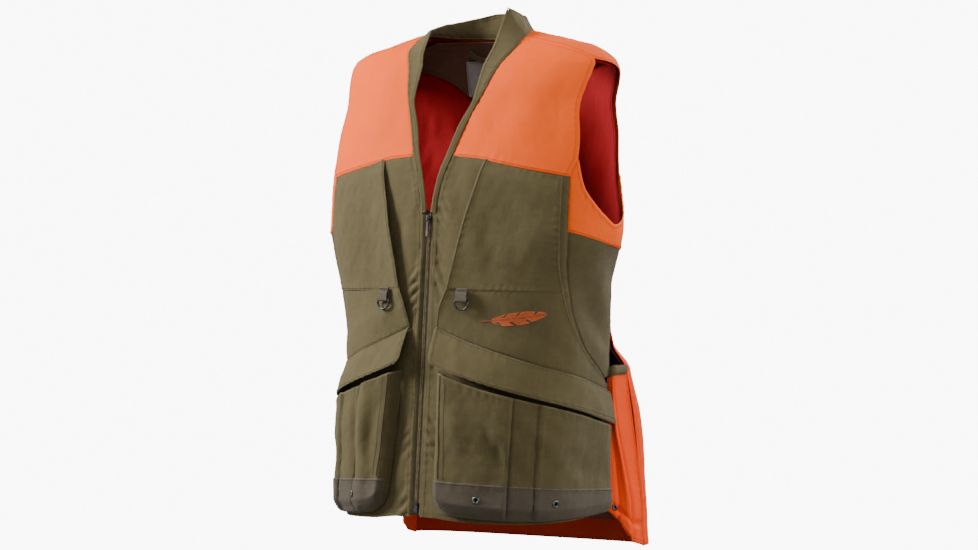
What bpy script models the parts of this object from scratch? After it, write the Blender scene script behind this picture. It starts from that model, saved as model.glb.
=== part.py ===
"""Upland hunting vest: blaze orange shoulders and game bag on an olive body.

World frame: metres, +Z up, the front faces -Y and the wearer's left is +X.
The origin lies on the centre plane at the height of the neck points of the
shoulders, where the wearer's shoulders carry the vest.

Most pieces are cloth panels on one torso surface.  A place on that surface is
an angle round the body (0 front centre, 90 wearer's left, 180 back centre)
and a height z.  A panel is a patch between four edge curves of such places,
solidified outward.
"""
import math

import bmesh
import bpy
import numpy as np
from mathutils import Matrix, Vector

# ---------------------------------------------------------------- dimensions
SEAM_GAP = 0.0008          # each panel stops this short of a seam line
SHELL = 0.0012             # body cloth
LINING = 0.0008
PLY = 0.0012               # sewn-on pocket and flap cloth
WEBBING = 0.0012

# Layers: height of a piece's inner face above the torso surface
LINING_LIFT = -0.0050
TAPE_LIFT = -0.0024
OVERLAY_LIFT = 0.0032
OVERLAY_STANDOFF = 0.0070  # how far the free front edge of the overlay gapes
POCKET_RIM_LIFT = 0.0045
POCKET_DEPTH = 0.0170      # bellows pocket's face beyond its rim
FLAP_LIFT = 0.0062
FLAP_PLY = 0.0016

# Heights on the front
V_BOTTOM = -0.2510
CHEST_SEAM = -0.3660
HEM = -0.7000
BAG_SEAM = -0.3700
BACK_YOKE_HEM = -0.3000
MOUTH = -0.4900            # side mouth of the game bag
BAG_FLOOR = -0.6880
TAIL = -0.7480

# Zip
ZIP_SLOPE = 0.0817         # the front leans forward this much per metre down
ZIP_TOP_Y = -0.1320
ZIP_HALF_GAP = 0.0058      # from the centre plane to a front panel's edge
COIL_INNER = 0.0008
COIL_OUTER = 0.0030
COIL_LIFT = -0.0014
ZIP_END = -0.6700

# D-rings
RING_WIRE = 0.0015
RING_HALF_WIDTH = 0.0110
TAB_HALF_WIDTH = 0.0088

# Torso rings: z, half width, front y, back y, centre y, front and back
# squareness of the superellipse
RINGS = (
    (-0.770, 0.191, None, 0.112, -0.030, 2.30, 3.8),
    (-0.600, 0.190, None, 0.104, -0.030, 2.30, 3.8),
    (-0.500, 0.191, None, 0.100, -0.030, 2.30, 3.8),
    (-0.440, 0.195, None, 0.100, -0.030, 2.30, 3.6),
    (-0.365, 0.207, None, 0.102, -0.030, 2.30, 3.0),
    (-0.280, 0.2370, None, 0.105, -0.025, 2.30, 2.3),
    (-0.200, 0.2350, None, 0.100, -0.018, 2.30, 2.3),
    (-0.150, 0.2335, -0.1150, 0.098, -0.010, 2.30, 2.3),
    (-0.100, 0.2290, -0.0990, 0.090, -0.005, 2.20, 2.2),
    (-0.075, 0.2275, -0.0885, 0.085, -0.002, 2.30, 2.3),
    (-0.048, 0.2230, -0.0735, 0.077, 0.000, 2.40, 2.4),
    (-0.028, 0.2010, -0.0600, 0.068, 0.000, 2.30, 2.3),
    (-0.008, 0.1360, -0.0360, 0.055, 0.000, 2.15, 2.1),
    (0.000, 0.1020, -0.0280, 0.048, 0.000, 2.00, 2.0),
    (0.006, 0.0800, -0.0220, 0.042, 0.000, 2.00, 2.0),
    (0.016, 0.0660, -0.0160, 0.036, 0.000, 2.00, 2.0),
)

# Linear colours of the cloth, trim and metal
ORANGE = (0.95, 0.17, 0.03)
OLIVE = (0.150, 0.115, 0.052)
OLIVE_TRIM = (0.170, 0.135, 0.065)
KICK_BROWN = (0.070, 0.055, 0.045)
LINER_BROWN = (0.050, 0.022, 0.022)
LINING_RED = (0.300, 0.010, 0.012)
WEBBING_GREY = (0.110, 0.100, 0.075)
LABEL_GREY = (0.190, 0.190, 0.180)
DARK_METAL = (0.045, 0.043, 0.042)
ZIP_BROWN = (0.110, 0.085, 0.055)

for old in list(bpy.data.objects):
    bpy.data.objects.remove(old, do_unlink=True)


def new_collection(name):
    group = bpy.data.collections.new(name)
    bpy.context.scene.collection.children.link(group)
    return group


PARTS = new_collection("hunting_vest")
CUTTERS = new_collection("cutters")


# ---------------------------------------------------------------- the surface
def zip_plane_y(z):
    """Front centre line: it is straight from the V down to the hem."""
    return ZIP_TOP_Y + ZIP_SLOPE * (z - V_BOTTOM)


def pchip(xs, ys, x):
    """Monotone cubic curve through the points (xs, ys), read at x."""
    xs, ys, x = np.asarray(xs, float), np.asarray(ys, float), np.asarray(x, float)
    step = np.diff(xs)
    slope = np.diff(ys) / step
    tangent = np.zeros(len(xs))
    tangent[0], tangent[-1] = slope[0], slope[-1]
    for i in range(1, len(xs) - 1):
        if slope[i - 1] * slope[i] > 0:
            before, after = step[i - 1], step[i]
            w1, w2 = 2 * after + before, after + 2 * before
            tangent[i] = (w1 + w2) / (w1 / slope[i - 1] + w2 / slope[i])
    i = np.clip(np.searchsorted(xs, x) - 1, 0, len(xs) - 2)
    h = step[i]
    t = np.clip((x - xs[i]) / h, 0.0, 1.0)
    return (ys[i] * (1 + 2 * t) * (1 - t) ** 2 + h * tangent[i] * t * (1 - t) ** 2
            + ys[i + 1] * t * t * (3 - 2 * t) + h * tangent[i + 1] * t * t * (t - 1))


RING_Z = [ring[0] for ring in RINGS]
RING_COLUMNS = [[zip_plane_y(ring[0]) if ring[k] is None else ring[k] for ring in RINGS]
                for k in range(1, 7)]


def torso(angle, z):
    """Points of the torso surface at the angles (degrees) and heights."""
    angle, z = np.broadcast_arrays(np.asarray(angle, float), np.asarray(z, float))
    half, front, back, centre, square_front, square_back = (
        pchip(RING_Z, column, z) for column in RING_COLUMNS)
    turn = np.radians(angle)
    s, c = np.sin(turn), np.cos(turn)
    ahead = c > 0
    depth = np.where(ahead, centre - front, back - centre)
    n = np.where(ahead, square_front, square_back)
    r = ((np.abs(s) / half) ** n + (np.abs(c) / depth) ** n) ** (-1.0 / n)
    return np.stack([r * s, centre - r * c, z], axis=-1)


def torso_normal(angle, z):
    """Outward unit normals of the torso surface."""
    da, dz = 0.4, 0.0015
    along = torso(np.asarray(angle) + da, z) - torso(np.asarray(angle) - da, z)
    up = torso(angle, np.asarray(z) + dz) - torso(angle, np.asarray(z) - dz)
    normal = np.cross(along, up)
    return normal / np.linalg.norm(normal, axis=-1, keepdims=True)


def lifted(angle, z, lift):
    """Points that stand off the torso surface by lift."""
    return torso(angle, z) + torso_normal(angle, z) * np.asarray(lift)[..., None]


def angle_at(x, z):
    """Angle on the front at which the surface is x from the centre plane."""
    low, high = 0.0, 89.0
    for _ in range(40):
        middle = (low + high) / 2
        if torso(middle, z)[0] < x:
            low = middle
        else:
            high = middle
    return low


def front(x, z):
    """Place on the front, given by its distance from the centre plane."""
    return (angle_at(x, z), z)


# ---------------------------------------------------------------- edge curves
# Left-hand (+X) edges, each listed from its bottom end to its top end
SHOULDER_SEAM = [(83.0, -0.0405), (78.5, -0.0240), (73.0, -0.0080)]
NECK_FRONT = [front(0.0135, -0.247), front(0.0215, -0.212), front(0.034, -0.176),
              front(0.045, -0.141), front(0.062, -0.097), (46.0, -0.054),
              (60.0, -0.026), (68.0, -0.0140)]
NECK_BACK = [SHOULDER_SEAM[-1], (81.0, -0.0010), (90.0, 0.0040), (120.0, 0.0020),
             (150.0, 0.0000), (180.0, -0.0010)]
NECK_COLUMNS = 18          # the back yoke and the collar share these stations
YOKE_CORNER = 2            # the point of NECK_FRONT where the yoke's hem meets it
ARMHOLE_FRONT = [(75.6, -0.182), (76.0, -0.127), (79.0, -0.076), (81.0, -0.058)]
ARMHOLE_LOW = [(75.6, -0.182), (78.0, -0.222), (82.0, -0.246), (87.0, -0.264),
               (93.0, -0.276), (100.0, -0.268), (107.0, -0.234), (109.0, -0.200)]
ARMHOLE_BACK = [(109.0, -0.185), (107.0, -0.130), (103.5, -0.088), (99.5, -0.066),
                (94.5, -0.0520), (89.0, -0.0450)]
PRINCESS = [(112.4, -0.505), (103.0, -0.482), (90.0, -0.448), (81.0, -0.400),
            (78.3, -0.370), (74.5, -0.320), (73.4, -0.283), (73.6, -0.206),
            (75.6, -0.182)]
SIDE_SEAM = [(114.0, BAG_FLOOR), (114.0, -0.530), (113.4, -0.505), (114.2, -0.490),
             (117.0, -0.450), (118.5, BAG_SEAM), (114.8, -0.335), (112.0, -0.312),
             (111.0, BACK_YOKE_HEM), (109.0, -0.200)]
YOKE_HEM = [front(0.034, -0.176), (45.0, -0.187), (73.6, -0.206)]
OVERLAY_EDGE = [front(0.0230, -0.422), front(0.0310, -0.390), front(0.041, CHEST_SEAM),
                front(0.0620, -0.280), front(0.089, -0.178)]
FLAP_TOP = [front(0.0240, -0.4225), (35.0, -0.4440), (62.0, -0.4700), (90.0, -0.4960),
            (112.5, -0.5170)]
FLAP_BOTTOM = [front(0.0250, -0.4730), (35.0, -0.4930), (62.0, -0.5180), (90.0, -0.5440),
               (112.5, -0.5630)]


def along_curve(points, count):
    """Evenly spaced places on a smooth curve through a list of places."""
    places = np.asarray(points, float)
    span = np.hypot(np.radians(np.diff(places[:, 0])) * 0.2, np.diff(places[:, 1]))
    length = np.concatenate([[0.0], np.cumsum(span)])
    fine = np.linspace(0.0, length[-1], 40 * len(places))
    dense = np.stack([pchip(length, places[:, k], fine) for k in (0, 1)], axis=-1)
    span = np.hypot(np.radians(np.diff(dense[:, 0])) * 0.2, np.diff(dense[:, 1]))
    run = np.concatenate([[0.0], np.cumsum(span)])
    wanted = np.linspace(0.0, run[-1], count)
    return np.stack([np.interp(wanted, run, dense[:, k]) for k in (0, 1)], axis=-1)


def between(curve, low, high):
    """The stretch of a rising curve between two heights, as a list of places."""
    dense = along_curve(curve, 400)
    inside = dense[(dense[:, 1] > low + 1e-4) & (dense[:, 1] < high - 1e-4)]
    ends = [(float(np.interp(z, dense[:, 1], dense[:, 0])), z) for z in (low, high)]
    return [ends[0]] + [tuple(place) for place in inside[::8]] + [ends[1]]


def patch(bottom, top, left, right, columns, rows):
    """Places of a grid stretched between four edge curves (a Coons patch)."""
    b, t = along_curve(bottom, columns + 1), along_curve(top, columns + 1)
    lo, hi = along_curve(left, rows + 1), along_curve(right, rows + 1)
    u = np.linspace(0.0, 1.0, columns + 1)[None, :, None]
    v = np.linspace(0.0, 1.0, rows + 1)[:, None, None]
    corners = (1 - u) * (1 - v) * b[0] + u * (1 - v) * b[-1] + (1 - u) * v * t[0] + u * v * t[-1]
    return ((1 - v) * b[None] + v * t[None]
            + (1 - u) * lo[:, None] + u * hi[:, None] - corners)


def inset(points, gap):
    """Pull the border of a grid of points inward by gap."""
    moved = points.copy()

    def pull(edge, inner):
        step = inner - edge
        length = np.maximum(np.linalg.norm(step, axis=-1, keepdims=True), 1e-9)
        return edge + step * np.minimum(gap / length, 0.4)

    moved[0], moved[-1] = pull(moved[0], points[1]), pull(moved[-1], points[-2])
    moved[:, 0] = pull(moved[:, 0].copy(), moved[:, 1])
    moved[:, -1] = pull(moved[:, -1].copy(), moved[:, -2])
    return moved


# ---------------------------------------------------------------- materials
def material(name, colour, roughness=0.9, metallic=0.0):
    made = bpy.data.materials.new(name)
    made.use_nodes = True
    shader = made.node_tree.nodes["Principled BSDF"]
    shader.inputs["Base Color"].default_value = (*colour, 1.0)
    shader.inputs["Roughness"].default_value = roughness
    shader.inputs["Metallic"].default_value = metallic
    made.diffuse_color = (*colour, 1.0)
    return made


# ---------------------------------------------------------------- builders
def add(name, mesh_or_curve, made_of, group=PARTS):
    obj = bpy.data.objects.new(name, mesh_or_curve)
    obj.data.materials.append(made_of)
    group.objects.link(obj)
    return obj


def grid_mesh(name, points, flip=False, offset=0.0):
    """Mesh of a rows x columns grid of points, moved along its normals."""
    rows, columns = points.shape[:2]
    bm = bmesh.new()
    bmesh.ops.create_grid(bm, x_segments=columns - 1, y_segments=rows - 1, size=1.0)
    bm.verts.ensure_lookup_table()
    for vert, point in zip(bm.verts, points.reshape(-1, 3)):
        vert.co = Vector(point)
    if flip:
        bmesh.ops.reverse_faces(bm, faces=bm.faces)
    bm.normal_update()
    if offset:
        moves = [vert.normal * offset for vert in bm.verts]
        for vert, move in zip(bm.verts, moves):
            vert.co += move
    mesh = bpy.data.meshes.new(name)
    bm.to_mesh(mesh)
    bm.free()
    return mesh


def sheet(name, points, thickness, colour, flip=False, offset=0.0, roughness=0.9):
    """A cloth panel: a grid solidified outward."""
    obj = add(name, grid_mesh(name, points, flip, offset), material(name, colour, roughness))
    solid = obj.modifiers.new("thickness", "SOLIDIFY")
    solid.thickness = thickness
    solid.offset = 1.0
    solid.use_even_offset = True
    obj.data.shade_smooth()
    return obj


def panel(name, places, lift, thickness, colour, gap=SEAM_GAP, **options):
    """A sheet on the torso surface, given by a grid of places."""
    points = inset(lifted(places[..., 0], places[..., 1], lift), gap)
    return sheet(name, points, thickness, colour, **options)


def mirrored(points):
    return points * np.array([-1.0, 1.0, 1.0])


def panel_pair(name, places, lift, thickness, colour, gap=SEAM_GAP, **options):
    """The same sheet on both sides of the centre plane."""
    points = inset(lifted(places[..., 0], places[..., 1], lift), gap)
    sheet(name + "_left", points, thickness, colour, **options)
    sheet(name + "_right", mirrored(points), thickness, colour, flip=True, **options)


def move_origin(obj, point):
    """Put a moving piece's origin on its joint's axis, leaving its shape in place."""
    obj.data.transform(Matrix.Translation(-Vector(point)))
    obj.location = Vector(point)


def mesh_from_curve(obj):
    """Turn a curve object into a mesh object with welded caps."""
    graph = bpy.context.evaluated_depsgraph_get()
    mesh = bpy.data.meshes.new_from_object(obj.evaluated_get(graph))
    bm = bmesh.new()
    bm.from_mesh(mesh)
    bmesh.ops.remove_doubles(bm, verts=bm.verts, dist=1e-6)
    bm.to_mesh(mesh)
    bm.free()
    made = bpy.data.objects.new(obj.name + "_mesh", mesh)
    made.matrix_world = obj.matrix_world
    name = obj.name
    for group in obj.users_collection:
        group.objects.link(made)
    bpy.data.objects.remove(obj, do_unlink=True)
    made.name = name
    return made


def wire(name, points, radius, colour, cyclic=False, resolution=2, metallic=0.9):
    """A round wire along a list of points."""
    curve = bpy.data.curves.new(name, "CURVE")
    curve.dimensions = "3D"
    curve.bevel_depth = radius
    curve.bevel_resolution = resolution
    curve.use_fill_caps = True
    line = curve.splines.new("POLY")
    line.points.add(len(points) - 1)
    for spot, point in zip(line.points, points):
        spot.co = (*point, 1.0)
    line.use_cyclic_u = cyclic
    return add(name, curve, material(name, colour, 0.35, metallic))


def slab(name, outline, half_thickness, colour, frame, roughness=0.6, metallic=0.0,
         bevel=0.0):
    """A flat outline in a frame's XY plane, extruded both ways along its Z."""
    curve = bpy.data.curves.new(name, "CURVE")
    curve.dimensions = "2D"
    curve.fill_mode = "BOTH"
    curve.extrude = half_thickness
    curve.bevel_depth = bevel
    curve.bevel_resolution = 1
    line = curve.splines.new("POLY")
    line.points.add(len(outline) - 1)
    for spot, point in zip(line.points, outline):
        spot.co = (point[0], point[1], 0.0, 1.0)
    line.use_cyclic_u = True
    obj = add(name, curve, material(name, colour, roughness, metallic))
    obj.matrix_world = frame
    return obj


def frame_at(origin, x_axis, y_axis):
    """World matrix with the given origin and first two axes."""
    x = Vector(x_axis).normalized()
    z = x.cross(Vector(y_axis)).normalized()
    y = z.cross(x)
    matrix = Matrix((x, y, z)).transposed().to_4x4()
    matrix.translation = Vector(origin)
    return matrix


def turned(name, profile, colour, frame, steps=20, metallic=0.9):
    """A closed profile of (radius, height) turned about the frame's Z axis."""
    mesh = bpy.data.meshes.new(name)
    count = len(profile)
    mesh.from_pydata([(r, 0.0, h) for r, h in profile],
                     [(i, (i + 1) % count) for i in range(count)], [])
    obj = add(name, mesh, material(name, colour, 0.35, metallic))
    screw = obj.modifiers.new("turn", "SCREW")
    screw.steps = steps
    screw.render_steps = steps
    screw.use_merge_vertices = True
    screw.merge_threshold = 1e-5
    screw.use_normal_calculate = True
    obj.matrix_world = frame
    return obj


def cut(target, cutter):
    cutter.hide_render = True
    cutter.display_type = "WIRE"
    hole = target.modifiers.new("cut_" + cutter.name, "BOOLEAN")
    hole.operation = "DIFFERENCE"
    hole.object = cutter
    hole.solver = "EXACT"


# ---------------------------------------------------------------- body panels
SEAM_EASE = 0.55           # degrees that the yoke keeps from the seams at its side


def make_front_yokes():
    left = NECK_FRONT[YOKE_CORNER:]
    right = between(PRINCESS, -0.2060, -0.1830) + ARMHOLE_FRONT[1:] + SHOULDER_SEAM
    right = [(angle - SEAM_EASE, z) for angle, z in right]
    places = patch(YOKE_HEM, [left[-1], right[-1]], left, right, 8, 11)
    panel_pair("front_yoke", places, 0.0, SHELL, ORANGE)


def make_front_panels():
    left = [front(ZIP_HALF_GAP, HEM), front(ZIP_HALF_GAP, -0.480),
            front(ZIP_HALF_GAP, -0.266)] + NECK_FRONT[:YOKE_CORNER + 1]
    right = between(SIDE_SEAM, BAG_FLOOR, -0.5050) + between(PRINCESS, -0.5040, -0.2060)
    bottom = [front(ZIP_HALF_GAP, HEM), (60.0, HEM + 0.002), right[0]]
    places = patch(bottom, YOKE_HEM, left, right, 11, 17)
    panel_pair("front_panel", places, 0.0, SHELL, OLIVE)


BAND_FRONT_HEM, BAND_REAR_HEM = -0.2830, -0.3120


def band_hem():
    """Lower edge of the underarm band, shared with the side panel."""
    start = between(PRINCESS, BAND_FRONT_HEM, -0.2060)[0]
    end = between(SIDE_SEAM, BAND_REAR_HEM, -0.2000)[0]
    return [start, (91.0, -0.301), end]


def make_side_bands():
    left = between(PRINCESS, BAND_FRONT_HEM, PRINCESS[-1][1])
    right = between(SIDE_SEAM, BAND_REAR_HEM, SIDE_SEAM[-1][1])
    places = patch(band_hem(), ARMHOLE_LOW, left, right, 10, 4)
    panel_pair("side_band", places, 0.0, SHELL, ORANGE)


def make_side_panels():
    left = between(PRINCESS, -0.4960, BAND_FRONT_HEM)
    right = between(SIDE_SEAM, -0.4930, BAND_REAR_HEM)
    places = patch([left[0], right[0]], band_hem(), left, right, 4, 10)
    panel_pair("side_panel", places, 0.0, SHELL, OLIVE)


def both_sides(left_edge):
    """The mirror image of an edge, for a panel that crosses the back."""
    return [(360.0 - angle, z) for angle, z in left_edge]


def make_back_panels():
    left = between(SIDE_SEAM, BACK_YOKE_HEM, -0.200) + ARMHOLE_BACK + SHOULDER_SEAM
    neck = NECK_BACK + both_sides(NECK_BACK[-2::-1])
    hem = [left[0], (180.0, BACK_YOKE_HEM), both_sides(left)[0]]
    places = patch(hem, neck, left, both_sides(left), NECK_COLUMNS, 12)
    panel("back_yoke", places, 0.0, SHELL, ORANGE)

    left = between(SIDE_SEAM, BAG_SEAM, BACK_YOKE_HEM)
    low = [left[0], (180.0, BAG_SEAM), both_sides(left)[0]]
    panel("back_panel", patch(low, hem, left, both_sides(left), 12, 4), 0.0, SHELL, OLIVE)

    left = between(SIDE_SEAM, BAG_FLOOR, BAG_SEAM)
    floor = [left[0], (180.0, BAG_FLOOR), both_sides(left)[0]]
    panel("bag_inner_panel", patch(floor, low, left, both_sides(left), 12, 10), 0.0, SHELL,
          LINER_BROWN)


# ---------------------------------------------------------------- lining
LINING_SIDE = [(100.0, -0.6900), (96.0, -0.3000), (93.0, -0.2810)]
LINING_ARMHOLE = [(86.0, -0.2650), (78.0, -0.2250), (75.6, -0.1850)]


def make_linings():
    left = [front(0.020, -0.690), front(0.020, -0.300), front(0.0260, -0.235)]
    left += NECK_FRONT[YOKE_CORNER:]
    right = LINING_SIDE + LINING_ARMHOLE + ARMHOLE_FRONT[1:] + SHOULDER_SEAM
    bottom = [left[0], (60.0, -0.690), right[0]]
    places = patch(bottom, [left[-1], right[-1]], left, right, 8, 13)
    panel_pair("lining_front", places, LINING_LIFT, LINING, LINING_RED, gap=0.001)

    left = LINING_SIDE + [(101.0, -0.272), (107.5, -0.238), (109.0, -0.200)]
    left += ARMHOLE_BACK + SHOULDER_SEAM
    neck = [left[-1], (90.0, 0.004), (120.0, 0.002), (180.0, -0.001), (240.0, 0.002),
            (270.0, 0.004), (287.0, -0.008)]
    bottom = [left[0], (180.0, -0.690), (260.0, -0.690)]
    panel("lining_back", patch(bottom, neck, left, both_sides(left), 16, 13),
          LINING_LIFT, LINING, LINING_RED, gap=0.001)


# ---------------------------------------------------------------- neck
# Top edge of the collar, from the V round to the back: the flat band on the
# chest is given by x and z, the standing part by points in space
BAND_TOP = [front(0.0058, -0.2435), front(0.0135, -0.2085), front(0.0255, -0.172),
            front(0.0360, -0.1375), front(0.0525, -0.094)]
BAND_TOP_FREE = [(0.0545, -0.0745, -0.0500), (0.0625, -0.0590, -0.0180),
                 (0.0640, -0.0470, 0.0060), (0.0660, -0.0340, 0.0345)]
COLLAR_TOP = [(0.0660, -0.0340, 0.0345), (0.0690, -0.0180, 0.0295), (0.0700, 0.0000, 0.0245),
              (0.0560, 0.0220, 0.0245), (0.0300, 0.0370, 0.0275), (0.0, 0.0430, 0.0310)]
# the collar lies lower on the wearer's right; listed with positive x
RIGHT_BAND_FREE = [(0.0545, -0.0745, -0.0520), (0.0625, -0.0590, -0.0290),
                   (0.0645, -0.0470, -0.0120), (0.0660, -0.0340, 0.0065)]
RIGHT_COLLAR_TOP = [(0.0660, -0.0340, 0.0065), (0.0690, -0.0180, 0.0090),
                    (0.0700, 0.0000, 0.0130), (0.0560, 0.0220, 0.0190),
                    (0.0300, 0.0370, 0.0255)]
BAND_THICKNESS = 0.0022


def through(points, count):
    """Evenly spaced points of a smooth curve in space."""
    points = np.asarray(points, float)
    length = np.concatenate([[0], np.cumsum(np.linalg.norm(np.diff(points, axis=0), axis=1))])
    wanted = np.linspace(0.0, length[-1], count)
    return np.stack([pchip(length, points[:, k], wanted) for k in range(3)], axis=-1)


def blend_edges(low, high, rows):
    """Grid of points between two lines of points."""
    v = np.linspace(0.0, 1.0, rows + 1)[:, None, None]
    return (1 - v) * low[None] + v * high[None]


def make_collar():
    columns = 14
    foot = along_curve(NECK_FRONT + [SHOULDER_SEAM[-1]], columns + 1)
    foot = torso(foot[:, 0], foot[:, 1])
    for tag, free in (("left", BAND_TOP_FREE), ("right", RIGHT_BAND_FREE)):
        top = [torso(*place) for place in BAND_TOP] + [np.array(point) for point in free]
        points = inset(blend_edges(foot, through(top, columns + 1), 2), 0.0020)
        if tag == "right":
            points = mirrored(points)
        sheet("v_band_" + tag, points, BAND_THICKNESS, OLIVE_TRIM, flip=tag == "right")

    foot = along_curve(NECK_BACK + both_sides(NECK_BACK[-2::-1]), NECK_COLUMNS + 1)
    # the collar stands on the yoke's neck edge with a seam gap under it
    foot = torso(foot[:, 0], foot[:, 1]) + np.array([0.0, 0.0, 0.0012])
    top = [np.array(point) for point in COLLAR_TOP]
    top += [mirrored(np.array(point)) for point in reversed(RIGHT_COLLAR_TOP)]
    points = blend_edges(foot, through(top, NECK_COLUMNS + 1), 2)
    sheet("collar_band", inset(points, 0.0007), BAND_THICKNESS, OLIVE_TRIM)


FACING_LIFT = -0.0120
LABEL_LIFT = -0.0140
LOOP_BOW = 0.0095          # depth of the finger gap behind the hanger loop


def make_neck_facing():
    bottom = [(140.0, -0.0800), (160.0, -0.1030), (180.0, -0.1100), (200.0, -0.1030),
              (220.0, -0.0800)]
    top = [(112.0, -0.0170), (180.0, -0.0130), (248.0, -0.0170)]
    left = [bottom[0], (122.0, -0.0520), top[0]]
    right = [bottom[-1], (238.0, -0.0520), top[-1]]
    panel("neck_facing", patch(bottom, top, left, right, 12, 5), FACING_LIFT, LINING,
          LINER_BROWN, gap=0.001)


def make_size_label():
    bottom = [(183.0, -0.0850), (221.0, -0.0850)]
    top = [(178.0, -0.0300), (226.0, -0.0300)]
    places = patch(bottom, top, [bottom[0], top[0]], [bottom[-1], top[-1]], 4, 4)
    panel("size_label", places, LABEL_LIFT, 0.0006, LABEL_GREY, gap=0.0)


def make_hanger_loop():
    """A short webbing strip that bows down off the facing's top edge."""
    count = 12
    points = np.zeros((3, count + 1, 3))
    for column, u in enumerate(np.linspace(0.0, 1.0, count + 1)):
        angle = 176.0 + 50.0 * u
        sag = math.sin(math.pi * u)
        for row, width in enumerate((-0.004, 0.0, 0.004)):
            z = -0.0150 - 0.009 * sag + width
            points[row, column] = lifted(angle, z, LABEL_LIFT - 0.0008 - LOOP_BOW * sag)
    sheet("hanger_loop", points, 0.0010, WEBBING_GREY)


# ---------------------------------------------------------------- chest overlay
def overlay_lift(columns, rows):
    """Lift of an overlay panel: its free front edge gapes, its side lies flat."""
    u = np.linspace(0.0, 1.0, columns + 1)
    gape = OVERLAY_STANDOFF * np.clip(1.0 - u / 0.45, 0.0, 1.0) ** 2
    return OVERLAY_LIFT + np.repeat(gape[None], rows + 1, axis=0)


def make_chest_overlays():
    columns, rows = 8, 8
    seam = [OVERLAY_EDGE[2], (45.0, -0.3680), (78.3, -0.3700)]
    top = [OVERLAY_EDGE[-1], (50.0, -0.1895), (73.0, -0.2080)]
    right = [seam[-1]] + between(PRINCESS, -0.3660, -0.2100) + [top[-1]]
    places = patch(seam, top, OVERLAY_EDGE[2:], right, columns, rows)
    fade = np.clip((1.0 - np.linspace(0.0, 1.0, rows + 1)) / 0.5, 0.0, 1.0)[:, None]
    lift = OVERLAY_LIFT + (overlay_lift(columns, rows) - OVERLAY_LIFT) * fade
    panel_pair("chest_pocket", places, lift, PLY, OLIVE, gap=0.0007)

    low = [(angle, z + 0.0015) for angle, z in FLAP_TOP[:-1]] + [(111.0, -0.5125)]
    right = [low[-1]] + between(PRINCESS, -0.5000, -0.3720) + [seam[-1]]
    columns, rows = 11, 6
    places = patch(low, seam, OVERLAY_EDGE[:3], right, columns, rows)
    # it closes again where the flap is sewn over it
    fade = np.clip(np.linspace(0.0, 1.0, rows + 1) / 0.5, 0.0, 1.0)[:, None]
    lift = OVERLAY_LIFT + (overlay_lift(columns, rows) - OVERLAY_LIFT) * fade
    panel_pair("waist_panel", places, lift, PLY, OLIVE, gap=0.0007)


# ---------------------------------------------------------------- bellows pocket
POCKET_INNER = [(17.0, -0.6740), front(0.0360, -0.6500), front(0.0340, -0.5600),
                front(0.0330, -0.4850)]
POCKET_BOTTOM = [(17.0, -0.6740), (28.0, -0.6880), (60.0, -0.6930), (90.0, -0.6900),
                 (112.0, -0.6840)]
POCKET_TOP = [front(0.0330, -0.4850), (35.0, -0.5030), (62.0, -0.5260), (90.0, -0.5500),
              (112.0, -0.5680)]
POCKET_COLUMNS, POCKET_ROWS = 15, 9
KICK_ROWS = 2              # rows of the pocket's grid that the kick band covers


def swell(u, v):
    """Share of the pocket's full depth at a place on its face (0 to 1)."""
    inner = np.clip(u / 0.045, 0.0, 1.0)
    outer = np.clip((1.0 - u) / 0.05, 0.0, 1.0)
    low = np.clip(v / 0.10, 0.0, 1.0)
    side = np.interp(u, (0.40, 0.75), (1.0, 0.45))
    return np.sqrt(inner * outer * low) * (1.0 - 0.25 * v) * side


def pocket_points():
    places = patch(POCKET_BOTTOM, POCKET_TOP, POCKET_INNER,
                   [POCKET_BOTTOM[-1], POCKET_TOP[-1]], POCKET_COLUMNS, POCKET_ROWS)
    # crowd grid lines towards the pocket's walls
    u = np.linspace(0.0, 1.0, POCKET_COLUMNS + 1)
    v = np.linspace(0.0, 1.0, POCKET_ROWS + 1)
    u_walls = np.concatenate([[0.0, 0.03, 0.06], np.linspace(0.13, 0.87, POCKET_COLUMNS - 5),
                              [0.94, 0.97, 1.0]])
    v_walls = np.concatenate([[0.0, 0.05, 0.10], np.linspace(0.19, 1.0, POCKET_ROWS - 2)])
    spread = np.zeros((POCKET_ROWS + 1, POCKET_COLUMNS + 1, 2))
    for k in (0, 1):
        wide = np.stack([np.interp(u_walls, u, row) for row in places[..., k]])
        spread[..., k] = np.stack([np.interp(v_walls, v, column) for column in wide.T]).T
    lift = POCKET_RIM_LIFT + POCKET_DEPTH * swell(u_walls[None], v_walls[:, None])
    return lifted(spread[..., 0], spread[..., 1], lift)


def eyelet_frame(points, row, column, offset, side):
    """Frame on the middle of a grid cell, Z along its outward normal."""
    cell = points[row:row + 2, column:column + 2].reshape(4, 3) * np.array([side, 1, 1])
    right, up = cell[1] - cell[0], cell[2] - cell[0]
    normal = np.cross(right, up) * side
    normal /= np.linalg.norm(normal)
    centre = cell.mean(axis=0) + normal * offset
    return frame_at(centre, right, np.cross(normal, right))


EYELET_OUTER, EYELET_HOLE, EYELET_BARREL = 0.0055, 0.0026, 0.0034
EYELET_CUT = 0.0042


def make_eyelet(name, frame, stack):
    """A pressed eyelet: outer ring, barrel and inner ring round cloth of depth stack."""
    out, back = 0.0009, -stack - 0.0009
    profile = [(EYELET_HOLE, out + 0.0004), (EYELET_OUTER - 0.0006, out + 0.0004),
               (EYELET_OUTER, out), (EYELET_OUTER, out - 0.0004), (EYELET_BARREL, out - 0.0004),
               (EYELET_BARREL, back), (EYELET_OUTER - 0.0006, back),
               (EYELET_OUTER - 0.0006, back - 0.0006), (EYELET_HOLE, back - 0.0006)]
    return turned(name, profile, DARK_METAL, frame, steps=12)


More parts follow.
